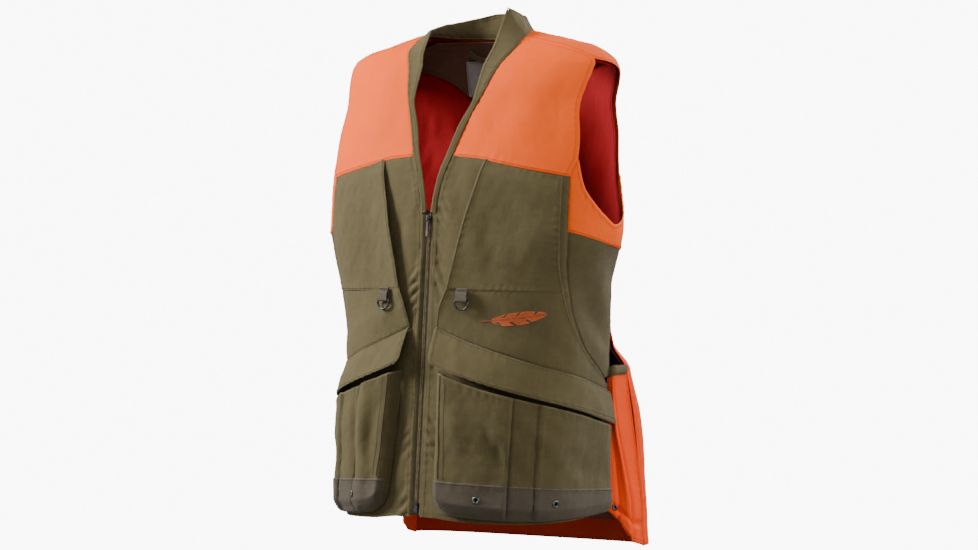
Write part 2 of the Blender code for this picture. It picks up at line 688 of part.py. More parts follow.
def eyelet_cutter(name, frame, depth):
    bm = bmesh.new()
    bmesh.ops.create_cone(bm, cap_ends=True, segments=12, radius1=EYELET_CUT,
                          radius2=EYELET_CUT, depth=depth)
    mesh = bpy.data.meshes.new(name)
    bm.to_mesh(mesh)
    bm.free()
    cutter = add(name, mesh, material(name, WEBBING_GREY), CUTTERS)
    cutter.matrix_world = frame
    return cutter


KICK_OFFSET = PLY + 0.0006
KICK_PLY = 0.0009
EYELET_CELLS = {"inner": (2, 4), "outer": (2, 8)}


def make_bellows_pockets():
    grid = pocket_points()
    for side, tag in ((1, "left"), (-1, "right")):
        points = grid if side == 1 else mirrored(grid)
        flip = side == -1
        body = sheet("bellows_pocket_" + tag, points, PLY, OLIVE, flip=flip)
        band = sheet("pocket_kick_band_" + tag, points[1:KICK_ROWS + 2, 1:-1], KICK_PLY,
                     KICK_BROWN, flip=flip, offset=KICK_OFFSET)
        for spot, (row, column) in EYELET_CELLS.items():
            frame = eyelet_frame(grid, row, column, KICK_OFFSET + KICK_PLY, side)
            name = "pocket_eyelet_" + spot + "_" + tag
            make_eyelet(name, frame, KICK_OFFSET + KICK_PLY)
            cutter = eyelet_cutter("cut_" + name, frame, 0.02)
            cut(body, cutter)
            cut(band, cutter)


# ---------------------------------------------------------------- pocket flaps
FLAP_RISE = 0.0195         # how far the flap's hem stands out beyond its top seam
FLAP_SPLIT = 46.0          # angle at which the front part of the flap ends
FLAP_HINGE = (0.0679, -0.1510, -0.4381)   # on the fold line along its top seam


def split_curve(points, angle):
    """Divide a curve of places at an angle into two lists."""
    fine = along_curve(points, 200)
    z = float(np.interp(angle, fine[:, 0], fine[:, 1]))
    before = [tuple(p) for p in points if p[0] < angle - 4]
    after = [tuple(p) for p in points if p[0] > angle + 4]
    return before + [(angle, z)], [(angle, z)] + after


def flap_lift(places):
    """The flap leans out over the pocket, less towards its rear end."""
    rows = places.shape[0]
    v = np.linspace(1.0, 0.0, rows)[:, None]
    deep = np.interp(places[..., 0], (40.0, 75.0, 112.0), (FLAP_RISE, 0.0125, 0.0090))
    return FLAP_LIFT + deep * v ** 0.8


def make_flaps():
    front_top, side_top = split_curve(FLAP_TOP, FLAP_SPLIT)
    # the cut runs square to the top seam
    front_low, side_low = split_curve(FLAP_BOTTOM, FLAP_SPLIT - 7.0)
    columns = 7
    places = patch(front_low, front_top, [front_low[0], front_top[0]],
                   [front_low[-1], front_top[-1]], columns, 4)
    panel_pair("pocket_flap_front", places, flap_lift(places), FLAP_PLY, OLIVE, gap=0.0010)
    for side, tag in ((1, "left"), (-1, "right")):
        move_origin(PARTS.objects["pocket_flap_front_" + tag],
                    np.array(FLAP_HINGE) * np.array([side, 1, 1]))
    columns = 9
    places = patch(side_low, side_top, [side_low[0], side_top[0]],
                   [side_low[-1], side_top[-1]], columns, 4)
    panel_pair("pocket_flap_side", places, flap_lift(places), FLAP_PLY, OLIVE, gap=0.0010)


# ---------------------------------------------------------------- game bag
BAG_CORNER = [(0.2050, 0.1120, -0.7420), (0.2020, 0.1130, -0.6930), (0.1970, 0.1060, -0.6130),
              (0.1900, 0.0880, MOUTH)]
BAG_FOLD = [(0.2040, 0.0880, -0.7350), (0.2030, 0.0880, -0.6930), (0.1980, 0.0780, -0.6270),
            (0.1935, 0.0625, -0.5620), (0.1905, 0.0560, MOUTH)]
BAG_BACK_Y = {"tail": 0.1500, "deep": 0.1480, "mouth": 0.1260}


def bag_row(corner, back_y, columns):
    """Half round line across the back, from one bag corner to the other."""
    half_width, corner_y, z = corner
    turn = np.linspace(0.0, math.pi, columns + 1)
    x = half_width * np.sign(np.cos(turn)) * np.abs(np.cos(turn)) ** 0.6
    y = corner_y + (back_y - corner_y) * np.sin(turn) ** 0.6
    return np.stack([x, y, np.full_like(x, z)], axis=-1)


def bag_wall_points(columns=14):
    rows = [bag_row((0.2050, 0.1120, TAIL + 0.006), BAG_BACK_Y["tail"], columns)]
    rows.append(bag_row((0.2020, 0.1130, -0.6930), BAG_BACK_Y["tail"], columns))
    rows.append(bag_row((0.1970, 0.1060, -0.6130), BAG_BACK_Y["deep"], columns))
    rows.append(bag_row((0.1940, 0.0980, -0.5500), 0.1390, columns))
    rows.append(bag_row((0.1900, 0.0880, MOUTH), BAG_BACK_Y["mouth"], columns))
    # the top edge is sewn to the back panel
    angles = 119.5 + (240.5 - 119.5) * np.linspace(0.0, 1.0, columns + 1)
    seam = lifted(angles, np.full(columns + 1, BAG_SEAM + 0.006), 0.0026)
    middle = rows[-1] * 0.52 + seam * 0.48
    return np.stack(rows + [middle, seam])


def refined(points, rows):
    """More rows in a grid, smoothly between the given ones."""
    height = np.linspace(0.0, 1.0, len(points))
    wanted = np.linspace(0.0, 1.0, rows + 1)
    flat = points.reshape(len(points), -1)
    fine = np.stack([pchip(height, flat[:, k], wanted) for k in range(flat.shape[1])], axis=-1)
    return fine.reshape(rows + 1, *points.shape[1:])


def make_game_bag():
    wall = refined(bag_wall_points(), 9)
    sheet("bag_outer_panel", inset(wall, 0.0008), SHELL, ORANGE, offset=0.0015)
    sheet("bag_liner", inset(wall[1:], 0.004), LINING, LINER_BROWN, offset=-0.0004)

    # floor: from the inner panel's bottom edge to the outer wall
    angles = np.linspace(116.0, 244.0, 13)
    inner = lifted(angles, np.full(13, BAG_FLOOR + 0.003), SHELL + 0.0035)
    outer = bag_row((0.1950, 0.1080, -0.6880), BAG_BACK_Y["deep"] - 0.006, 12)
    u = np.linspace(0.0, 1.0, 4)[:, None, None]
    floor = (1 - u) * outer[None] + u * inner[None]
    sheet("bag_floor", inset(floor, 0.001), LINING, LINER_BROWN, flip=True)

    body_edge = [torso(114.8, z) + torso_normal(114.8, z) * 0.0004
                 for z in (BAG_FLOOR, -0.6000, -0.5300, MOUTH - 0.004)]
    columns = [through(body_edge, 9), None, through(BAG_FOLD, 9), through(BAG_CORNER, 9)]
    columns[0][0, 2] = -0.6900
    columns[1] = (columns[0] + columns[2]) / 2 + np.array([0.002, 0.0, 0.0])
    columns[1][0, 2] = -0.6990
    points = inset(np.stack(columns, axis=1), 0.0009)
    for side, tag in ((1, "left"), (-1, "right")):
        gusset = sheet("bag_gusset_" + tag, points if side == 1 else mirrored(points), SHELL,
                       ORANGE, flip=side == -1)
        frame = eyelet_frame(points, 0, 0, SHELL, side)
        make_eyelet("bag_eyelet_" + tag, frame, SHELL)
        cut(gusset, eyelet_cutter("cut_bag_eyelet_" + tag, frame, 0.02))

    # binding along the gusset's top edge
    top = points[-1]
    path = through(np.concatenate([top[:1] + np.array([0.0030, 0.0020, 0.0]), top[2:]]), 8)
    for side, tag in ((1, "left"), (-1, "right")):
        strip = np.stack([path + np.array([0.0, 0.0, 0.0045]), path + np.array([0.0, 0.0, 0.0110])])
        if side == -1:
            strip = mirrored(strip)
        sheet("bag_binding_" + tag, strip, 0.0020, OLIVE_TRIM, flip=side == -1)


# ---------------------------------------------------------------- zip
ZIP_DOWN = Vector((0.0, -ZIP_SLOPE, -1.0)).normalized()
ZIP_OUT = Vector((0.0, -1.0, ZIP_SLOPE)).normalized()


def zip_point(z, lift=0.0, x=0.0):
    """Point on the straight front centre line."""
    return Vector((x, zip_plane_y(z), z)) + ZIP_OUT * lift


def strip(name, x_from, x_to, z_low, z_high, lift, thickness, colour, roughness=0.8):
    """A flat strip beside the centre plane; right-hand copies use negative x."""
    frame = frame_at(zip_point((z_low + z_high) / 2, lift + thickness / 2),
                     (1, 0, 0), -ZIP_DOWN)
    half = (z_high - z_low) / 2 * math.sqrt(1 + ZIP_SLOPE ** 2)
    low, high = min(x_from, x_to), max(x_from, x_to)
    outline = [(low, -half), (high, -half), (high, half), (low, half)]
    return slab(name, outline, thickness / 2, colour, frame, roughness)


def make_zip():
    for side, tag in ((1, "left"), (-1, "right")):
        strip("zip_tape_" + tag, side * COIL_OUTER, side * 0.0150, -0.6950, V_BOTTOM - 0.004,
              TAPE_LIFT, 0.0007, ZIP_BROWN)
        strip("zip_coil_" + tag, side * COIL_INNER, side * (COIL_OUTER - 0.0003), ZIP_END,
              V_BOTTOM - 0.010, COIL_LIFT, 0.0020, OLIVE)
        strip("zip_top_stop_" + tag, side * 0.0014, side * (COIL_OUTER - 0.0003),
              V_BOTTOM - 0.0085, V_BOTTOM - 0.0050, COIL_LIFT, 0.0024, DARK_METAL, 0.4)
    strip("zip_box", -0.0042, 0.0042, -0.6860, ZIP_END - 0.0010, COIL_LIFT, 0.0030,
          DARK_METAL, 0.4)


SLIDER_LENGTH = 0.0110
SLIDER_Z = V_BOTTOM - 0.0170


def box_mesh(name, size, frame, group, made_of):
    bm = bmesh.new()
    bmesh.ops.create_cube(bm, size=1.0)
    for vert in bm.verts:
        vert.co = Vector((vert.co.x * size[0], vert.co.y * size[1], vert.co.z * size[2]))
    mesh = bpy.data.meshes.new(name)
    bm.to_mesh(mesh)
    bm.free()
    obj = add(name, mesh, made_of, group)
    obj.matrix_world = frame
    return obj


def make_slider():
    """Two wings joined by a thin post, with a bail on top for the pull."""
    made_of = material("zip_slider", DARK_METAL, 0.35, 0.9)
    frame = frame_at(zip_point(SLIDER_Z, 0.0), (1, 0, 0), -ZIP_DOWN)
    half = SLIDER_LENGTH / 2
    outline = [(-0.0030, -half), (0.0030, -half), (0.0044, -half + 0.003), (0.0044, half - 0.002),
               (0.0036, half), (-0.0036, half), (-0.0044, half - 0.002), (-0.0044, -half + 0.003)]
    top_wing = slab("zip_slider", outline, 0.0007, DARK_METAL,
                    frame @ Matrix.Translation((0, 0, 0.0018)), 0.35, 0.9)
    body = mesh_from_curve(top_wing)
    pieces = (
        ("slider_under_wing", (0.0050, SLIDER_LENGTH * 0.9, 0.0009), (0, 0, -0.0032)),
        ("slider_post", (0.0008, 0.0040, 0.0048), (0, 0.0030, -0.0009)),
        ("slider_bail_top", (0.0022, 0.0012, 0.0036), (0, 0.0040, 0.0036)),
        ("slider_bail_low", (0.0022, 0.0012, 0.0036), (0, -0.0016, 0.0036)),
        ("slider_bail_bar", (0.0022, 0.0068, 0.0010), (0, 0.0012, 0.0052)),
    )
    for name, size, place in pieces:
        piece = box_mesh(name, size, frame @ Matrix.Translation(place), CUTTERS, made_of)
        piece.hide_render = True
        piece.display_type = "WIRE"
        join = body.modifiers.new("join_" + name, "BOOLEAN")
        join.operation = "UNION"
        join.object = piece
        join.solver = "EXACT"
    return frame


def make_pull(frame):
    """A flat tag whose top bar turns inside the slider's bail."""
    eye = frame @ Vector((0.0, 0.0010, 0.0036))
    outline = [(-0.0026, 0.0006), (0.0026, 0.0006), (0.0026, -0.0250), (0.0018, -0.0268),
               (-0.0018, -0.0268), (-0.0026, -0.0250)]
    axes = frame.to_3x3()
    right, up, out = axes.col[0], axes.col[1], axes.col[2]
    pull_frame = frame_at(eye, right, up)
    pull = slab("zip_pull", outline, 0.0006, LINER_BROWN, pull_frame, 0.5, 0.0)
    pull = mesh_from_curve(pull)
    # window round the bail's lower leg
    window = box_mesh("cut_pull_window", (0.0032, 0.0042, 0.006),
                      pull_frame @ Matrix.Translation((0, -0.0027, 0)), CUTTERS,
                      material("cut_pull_window", DARK_METAL))
    cut(pull, window)


# ---------------------------------------------------------------- D-rings
RING_X, RING_TOP = 0.0670, CHEST_SEAM - 0.0010
TAB_DROP = 0.0165
TAB_LIFT = 0.0092          # back of the tab, clear of the gaping overlay


def tab_outline():
    """Side view of a webbing tab folded round the ring's bar (out, up)."""
    r_in = RING_WIRE + 0.0006
    r_out = r_in + WEBBING
    # outside: over the sewn end, down the front ply and round the bar
    outside = [(-r_out, TAB_DROP), (2 * WEBBING + 0.0004 - r_out, TAB_DROP),
               (r_out, 0.0060), (r_out, 0.0)]
    for step in range(1, 8):
        turn = math.pi * step / 8
        outside.append((r_out * math.cos(turn), -r_out * math.sin(turn)))
    outside.append((-r_out, 0.0))
    # inside: a slot round the bar, closed above it
    inside = [(-r_in, 0.0045), (-r_in, 0.0)]
    for step in range(7, 0, -1):
        turn = math.pi * step / 8
        inside.append((r_in * math.cos(turn), -r_in * math.sin(turn)))
    inside += [(r_in, 0.0), (r_in, 0.0045)]
    return outside, inside


def make_d_rings():
    tilt = torso_normal(angle_at(RING_X, RING_TOP - TAB_DROP), RING_TOP - TAB_DROP)
    for side, tag in ((1, "left"), (-1, "right")):
        out = Vector(tilt * np.array([side, 1, 1]))
        across = Vector((0, 0, 1)).cross(out).normalized() * -1
        up = across.cross(out).normalized()
        if up.z < 0:
            up = -up
        base = lifted(angle_at(RING_X, RING_TOP - TAB_DROP), RING_TOP - TAB_DROP,
                      TAB_LIFT + RING_WIRE + 0.0006 + WEBBING)
        base = Vector(base * np.array([side, 1, 1]))
        outside, inside = tab_outline()
        frame = frame_at(base, out, up)
        tab = slab("d_ring_tab_" + tag, outside, TAB_HALF_WIDTH, WEBBING_GREY, frame, 0.85)
        hole = tab.data.splines.new("POLY")
        hole.points.add(len(inside) - 1)
        for spot, point in zip(hole.points, inside):
            spot.co = (point[0], point[1], 0.0, 1.0)
        hole.use_cyclic_u = True
        # the ring: a straight bar in the tab and a round bow below it
        path = [Vector((-RING_HALF_WIDTH, 0)), Vector((0.0, 0)), Vector((RING_HALF_WIDTH, 0))]
        drop = 0.0040
        for step in range(0, 13):
            turn = math.pi * step / 12
            path.append(Vector((RING_HALF_WIDTH * math.cos(turn),
                                -drop - RING_HALF_WIDTH * 0.9 * math.sin(turn))))
        points = [base + across * p.x + up * p.y for p in path]
        ring = wire("d_ring_" + tag, points, RING_WIRE, DARK_METAL, cyclic=True)
        move_origin(ring, base)


make_front_yokes()
make_front_panels()
make_side_bands()
make_side_panels()
make_back_panels()
make_linings()
make_collar()
make_neck_facing()
make_size_label()
make_hanger_loop()
make_chest_overlays()
make_bellows_pockets()
make_flaps()
make_game_bag()
make_zip()
make_pull(make_slider())
make_d_rings()
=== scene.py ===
"""Looks of the hunting vest: every cloth panel, seam, stitch and fitting.

Cloth panels are fine grids on the same torso surface as the CAD solids.  Each
gets folded hems, seam grooves, puckers and drape folds as real shape, and
carries a "cloth" attribute (metres along, metres up, metres from its border)
that its weave is drawn from.
"""

import math

import bmesh
import bpy
import numpy as np
from mathutils import Matrix, Vector
from mathutils.bvhtree import BVHTree


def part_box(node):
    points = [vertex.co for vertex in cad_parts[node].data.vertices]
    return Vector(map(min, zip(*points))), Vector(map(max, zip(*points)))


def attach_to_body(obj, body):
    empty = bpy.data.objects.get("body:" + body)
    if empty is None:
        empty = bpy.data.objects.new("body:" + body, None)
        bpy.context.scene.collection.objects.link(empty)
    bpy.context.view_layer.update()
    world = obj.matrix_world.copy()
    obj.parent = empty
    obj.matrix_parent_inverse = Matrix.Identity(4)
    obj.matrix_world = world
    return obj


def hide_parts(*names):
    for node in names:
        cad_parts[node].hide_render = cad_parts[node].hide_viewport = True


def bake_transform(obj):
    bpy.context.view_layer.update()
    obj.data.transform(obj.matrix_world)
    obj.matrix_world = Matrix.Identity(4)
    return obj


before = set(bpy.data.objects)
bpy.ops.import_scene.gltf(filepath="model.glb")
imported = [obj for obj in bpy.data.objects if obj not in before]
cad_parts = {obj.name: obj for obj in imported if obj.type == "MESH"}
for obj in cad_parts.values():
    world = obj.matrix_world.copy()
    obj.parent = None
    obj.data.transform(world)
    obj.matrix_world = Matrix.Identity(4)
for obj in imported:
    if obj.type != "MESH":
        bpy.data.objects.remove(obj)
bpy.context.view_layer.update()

# ---------------------------------------------------------------- dimensions
SHELL = 0.0012             # body cloth
YOKE_PLY = 0.0011          # orange shoulder cloth
LINING_PLY = 0.0007
WEBBING = 0.0012

# Layers: height of a piece's inner face above the torso surface
LINING_LIFT = -0.0050
TAPE_LIFT = -0.0024
OVERLAY_LIFT = 0.0032
OVERLAY_STANDOFF = 0.0070  # how far the free front edge of the overlay gapes
POCKET_RIM_LIFT = 0.0045
POCKET_DEPTH = 0.0170      # bellows pocket's face beyond its rim
FLAP_LIFT = 0.0062

# Heights on the front
V_BOTTOM = -0.2510
CHEST_SEAM = -0.3660
HEM = -0.7000
BAG_SEAM = -0.3700
BACK_YOKE_HEM = -0.3000
MOUTH = -0.4900            # side mouth of the game bag
BAG_FLOOR = -0.6880
TAIL = -0.7480

# Zip
ZIP_SLOPE = 0.0817         # the front leans forward this much per metre down
ZIP_TOP_Y = -0.1320
COIL_OUTER = 0.0030
COIL_LIFT = -0.0014
ZIP_END = -0.6700

# D-rings
RING_WIRE = 0.0015
RING_HALF_WIDTH = 0.0110
TAB_HALF_WIDTH = 0.0088

# Torso rings: z, half width, front y, back y, centre y, front and back
# squareness of the superellipse
RINGS = (
    (-0.770, 0.191, None, 0.112, -0.030, 2.30, 3.8),
    (-0.600, 0.190, None, 0.104, -0.030, 2.30, 3.8),
    (-0.500, 0.191, None, 0.100, -0.030, 2.30, 3.8),
    (-0.440, 0.195, None, 0.100, -0.030, 2.30, 3.6),
    (-0.365, 0.207, None, 0.102, -0.030, 2.30, 3.0),
    (-0.280, 0.2370, None, 0.105, -0.025, 2.30, 2.3),
    (-0.200, 0.2350, None, 0.100, -0.018, 2.30, 2.3),
    (-0.150, 0.2335, -0.1150, 0.098, -0.010, 2.30, 2.3),
    (-0.100, 0.2290, -0.0990, 0.090, -0.005, 2.20, 2.2),
    (-0.075, 0.2275, -0.0885, 0.085, -0.002, 2.30, 2.3),
    (-0.048, 0.2230, -0.0735, 0.077, 0.000, 2.40, 2.4),
    (-0.028, 0.2010, -0.0600, 0.068, 0.000, 2.30, 2.3),
    (-0.008, 0.1360, -0.0360, 0.055, 0.000, 2.15, 2.1),
    (0.000, 0.1020, -0.0280, 0.048, 0.000, 2.00, 2.0),
    (0.006, 0.0800, -0.0220, 0.042, 0.000, 2.00, 2.0),
    (0.016, 0.0660, -0.0160, 0.036, 0.000, 2.00, 2.0),
)


# ---------------------------------------------------------------- the surface
def zip_plane_y(z):
    """Front centre line: it is straight from the V down to the hem."""
    return ZIP_TOP_Y + ZIP_SLOPE * (z - V_BOTTOM)


def pchip(xs, ys, x):
    """Monotone cubic curve through the points (xs, ys), read at x."""
    xs, ys, x = np.asarray(xs, float), np.asarray(ys, float), np.asarray(x, float)
    step = np.diff(xs)
    slope = np.diff(ys) / step
    tangent = np.zeros(len(xs))
    tangent[0], tangent[-1] = slope[0], slope[-1]
    for i in range(1, len(xs) - 1):
        if slope[i - 1] * slope[i] > 0:
            before, after = step[i - 1], step[i]
            w1, w2 = 2 * after + before, after + 2 * before
            tangent[i] = (w1 + w2) / (w1 / slope[i - 1] + w2 / slope[i])
    i = np.clip(np.searchsorted(xs, x) - 1, 0, len(xs) - 2)
    h = step[i]
    t = np.clip((x - xs[i]) / h, 0.0, 1.0)
    return (ys[i] * (1 + 2 * t) * (1 - t) ** 2 + h * tangent[i] * t * (1 - t) ** 2
            + ys[i + 1] * t * t * (3 - 2 * t) + h * tangent[i + 1] * t * t * (t - 1))


RING_Z = [ring[0] for ring in RINGS]
RING_COLUMNS = [[zip_plane_y(ring[0]) if ring[k] is None else ring[k] for ring in RINGS]
                for k in range(1, 7)]


def torso(angle, z):
    """Points of the torso surface at the angles (degrees) and heights."""
    angle, z = np.broadcast_arrays(np.asarray(angle, float), np.asarray(z, float))
    half, front, back, centre, square_front, square_back = (
        pchip(RING_Z, column, z) for column in RING_COLUMNS)
    turn = np.radians(angle)
    s, c = np.sin(turn), np.cos(turn)
    ahead = c > 0
    depth = np.where(ahead, centre - front, back - centre)
    n = np.where(ahead, square_front, square_back)
    r = ((np.abs(s) / half) ** n + (np.abs(c) / depth) ** n) ** (-1.0 / n)
    return np.stack([r * s, centre - r * c, z], axis=-1)


def torso_normal(angle, z):
    """Outward unit normals of the torso surface."""
    da, dz = 0.4, 0.0015
    along = torso(np.asarray(angle) + da, z) - torso(np.asarray(angle) - da, z)
    up = torso(angle, np.asarray(z) + dz) - torso(angle, np.asarray(z) - dz)
    normal = np.cross(along, up)
    return normal / np.linalg.norm(normal, axis=-1, keepdims=True)


def lifted(angle, z, lift):
    """Points that stand off the torso surface by lift."""
    return torso(angle, z) + torso_normal(angle, z) * np.asarray(lift)[..., None]


def angle_at(x, z):
    """Angle on the front at which the surface is x from the centre plane."""
    low, high = 0.0, 89.0
    for _ in range(40):
        middle = (low + high) / 2
        if torso(middle, z)[0] < x:
            low = middle
        else:
            high = middle
    return low


def front(x, z):
    """Place on the front, given by its distance from the centre plane."""
    return (angle_at(x, z), z)


# ---------------------------------------------------------------- edge curves
# Left-hand (+X) edges, each listed from its bottom end to its top end
SHOULDER_SEAM = [(83.0, -0.0405), (78.5, -0.0240), (73.0, -0.0080)]
NECK_FRONT = [front(0.0135, -0.247), front(0.0215, -0.212), front(0.034, -0.176),
              front(0.045, -0.141), front(0.062, -0.097), (46.0, -0.054),
              (60.0, -0.026), (68.0, -0.0140)]
NECK_BACK = [SHOULDER_SEAM[-1], (81.0, -0.0010), (90.0, 0.0040), (120.0, 0.0020),
             (150.0, 0.0000), (180.0, -0.0010)]
YOKE_CORNER = 2            # the point of NECK_FRONT where the yoke's hem meets it
ARMHOLE_FRONT = [(75.6, -0.182), (76.0, -0.127), (79.0, -0.076), (81.0, -0.058)]
ARMHOLE_LOW = [(75.6, -0.182), (78.0, -0.222), (82.0, -0.246), (87.0, -0.264),
               (93.0, -0.276), (100.0, -0.268), (107.0, -0.234), (109.0, -0.200)]
ARMHOLE_BACK = [(109.0, -0.185), (107.0, -0.130), (103.5, -0.088), (99.5, -0.066),
                (94.5, -0.0520), (89.0, -0.0450)]
PRINCESS = [(112.4, -0.505), (103.0, -0.482), (90.0, -0.448), (81.0, -0.400),
            (78.3, -0.370), (74.5, -0.320), (73.4, -0.283), (73.6, -0.206),
            (75.6, -0.182)]
SIDE_SEAM = [(114.0, BAG_FLOOR), (114.0, -0.530), (113.4, -0.505), (114.2, -0.490),
             (117.0, -0.450), (118.5, BAG_SEAM), (114.8, -0.335), (112.0, -0.312),
             (111.0, BACK_YOKE_HEM), (109.0, -0.200)]
YOKE_HEM = [front(0.034, -0.176), (22.0, -0.1767), (34.0, -0.1790), (45.0, -0.1848),
            (60.0, -0.1955), (73.6, -0.206)]
OVERLAY_EDGE = [front(0.0230, -0.422), front(0.0310, -0.390), front(0.041, CHEST_SEAM),
                front(0.0620, -0.280), front(0.089, -0.178)]
FLAP_TOP = [front(0.0240, -0.4225), (35.0, -0.4440), (62.0, -0.4700), (90.0, -0.4960),
            (112.5, -0.5170)]
FLAP_BOTTOM = [front(0.0250, -0.4730), (35.0, -0.4930), (62.0, -0.5180), (90.0, -0.5440),
               (112.5, -0.5630)]


def resampled(wanted, run, data):
    """Columns of data, measured at run, read at the wanted distances."""
    return np.stack([np.interp(wanted, run, column) for column in data.T], axis=-1)


def along_curve(points, count):
    """Evenly spaced places on a smooth curve through a list of places."""
    places = np.asarray(points, float)
    span = np.hypot(np.radians(np.diff(places[:, 0])) * 0.2, np.diff(places[:, 1]))
    length = np.concatenate([[0.0], np.cumsum(span)])
    fine = np.linspace(0.0, length[-1], 40 * len(places))
    dense = np.stack([pchip(length, places[:, k], fine) for k in (0, 1)], axis=-1)
    span = np.hypot(np.radians(np.diff(dense[:, 0])) * 0.2, np.diff(dense[:, 1]))
    run = np.concatenate([[0.0], np.cumsum(span)])
    wanted = np.linspace(0.0, run[-1], count)
    return resampled(wanted, run, dense)


def between(curve, low, high):
    """The stretch of a rising curve between two heights, as a list of places."""
    dense = along_curve(curve, 400)
    inside = dense[(dense[:, 1] > low + 1e-4) & (dense[:, 1] < high - 1e-4)]
    ends = [(float(np.interp(z, dense[:, 1], dense[:, 0])), z) for z in (low, high)]
    return [ends[0]] + [tuple(place) for place in inside[::8]] + [ends[1]]


def patch(bottom, top, left, right, columns, rows):
    """Places of a grid stretched between four edge curves (a Coons patch)."""
    b, t = along_curve(bottom, columns + 1), along_curve(top, columns + 1)
    lo, hi = along_curve(left, rows + 1), along_curve(right, rows + 1)
    u = np.linspace(0.0, 1.0, columns + 1)[None, :, None]
    v = np.linspace(0.0, 1.0, rows + 1)[:, None, None]
    corners = (1 - u) * (1 - v) * b[0] + u * (1 - v) * b[-1] + (1 - u) * v * t[0] + u * v * t[-1]
    return ((1 - v) * b[None] + v * t[None]
            + (1 - u) * lo[:, None] + u * hi[:, None] - corners)


def inset(points, gap):
    """Pull the border of a grid of points inward by gap."""
    moved = points.copy()

    def pull(edge, inner):
        step = inner - edge
        length = np.maximum(np.linalg.norm(step, axis=-1, keepdims=True), 1e-9)
        return edge + step * np.minimum(gap / length, 0.4)

    moved[0], moved[-1] = pull(moved[0], points[1]), pull(moved[-1], points[-2])
    moved[:, 0] = pull(moved[:, 0].copy(), moved[:, 1])
    moved[:, -1] = pull(moved[:, -1].copy(), moved[:, -2])
    return moved


def bell(x, width):
    return np.exp(-(x / width) ** 2)


def smooth_step(share):
    return share * share * (3 - 2 * share)


def mirrored(points, side):
    return points * np.array([side, 1, 1])


def across_back(left_edge, z):
    """The level line between an edge's foot and its mirror image."""
    return [left_edge[0], (180.0, z), both_sides(left_edge)[0]]


def both_sides(left_edge):
    """The mirror image of an edge, for a panel that crosses the back."""
    return [(360.0 - angle, z) for angle, z in left_edge]


LINING_SIDE = [(100.0, -0.6900), (96.0, -0.3000), (93.0, -0.2810)]
LINING_ARMHOLE = [(86.0, -0.2650), (78.0, -0.2250), (75.6, -0.1850)]
# Top edge of the collar, from the V round to the back: the flat band on the
# chest is given by x and z, the standing part by points in space
BAND_TOP = [front(0.0058, -0.2435), front(0.0135, -0.2085), front(0.0255, -0.172),
            front(0.0360, -0.1375), front(0.0525, -0.094)]
BAND_TOP_FREE = [(0.0545, -0.0745, -0.0500), (0.0625, -0.0590, -0.0180),
                 (0.0640, -0.0470, 0.0060), (0.0660, -0.0340, 0.0345)]
COLLAR_TOP = [(0.0660, -0.0340, 0.0345), (0.0690, -0.0180, 0.0295), (0.0700, 0.0000, 0.0245),
              (0.0560, 0.0220, 0.0245), (0.0300, 0.0370, 0.0275), (0.0, 0.0430, 0.0310)]
# the collar lies lower on the wearer's right; listed with positive x
RIGHT_BAND_FREE = [(0.0545, -0.0745, -0.0520), (0.0625, -0.0590, -0.0290),
                   (0.0645, -0.0470, -0.0120), (0.0660, -0.0340, 0.0065)]
RIGHT_COLLAR_TOP = [(0.0660, -0.0340, 0.0065), (0.0690, -0.0180, 0.0090),
                    (0.0700, 0.0000, 0.0130), (0.0560, 0.0220, 0.0190),
                    (0.0300, 0.0370, 0.0255)]


def through(points, count):
    """Evenly spaced points of a smooth curve in space."""
    points = np.asarray(points, float)
    length = np.concatenate([[0], np.cumsum(np.linalg.norm(np.diff(points, axis=0), axis=1))])
    wanted = np.linspace(0.0, length[-1], count)
    return np.stack([pchip(length, points[:, k], wanted) for k in range(3)], axis=-1)


def blend_edges(low, high, rows):
    """Grid of points between two lines of points."""
    v = np.linspace(0.0, 1.0, rows + 1)[:, None, None]
    return (1 - v) * low[None] + v * high[None]


FACING_LIFT = -0.0120
LABEL_LIFT = -0.0140
LOOP_BOW = 0.0095          # depth of the finger gap behind the hanger loop
POCKET_INNER = [(17.0, -0.6740), front(0.0360, -0.6500), front(0.0340, -0.5600),
                front(0.0330, -0.4850)]
POCKET_BOTTOM = [(17.0, -0.6740), (28.0, -0.6880), (60.0, -0.6930), (90.0, -0.6900),
                 (112.0, -0.6840)]
POCKET_TOP = [front(0.0330, -0.4850), (35.0, -0.5030), (62.0, -0.5260), (90.0, -0.5500),
              (112.0, -0.5680)]
FLAP_RISE = 0.0195         # how far the flap's hem stands out beyond its top seam
BAG_CORNER = [(0.2050, 0.1120, -0.7420), (0.2020, 0.1130, -0.6930), (0.1970, 0.1060, -0.6130),
              (0.1900, 0.0880, MOUTH)]
BAG_FOLD = [(0.2040, 0.0880, -0.7350), (0.2030, 0.0880, -0.6930), (0.1980, 0.0780, -0.6270),
            (0.1935, 0.0625, -0.5620), (0.1905, 0.0560, MOUTH)]
BAG_BACK_Y = {"tail": 0.1500, "deep": 0.1480, "mouth": 0.1260}


def bag_row(corner, back_y, columns):
    """Half round line across the back, from one bag corner to the other."""
    half_width, corner_y, z = corner
    turn = np.linspace(0.0, math.pi, columns + 1)
    x = half_width * np.sign(np.cos(turn)) * np.abs(np.cos(turn)) ** 0.6
    y = corner_y + (back_y - corner_y) * np.sin(turn) ** 0.6
    return np.stack([x, y, np.full_like(x, z)], axis=-1)


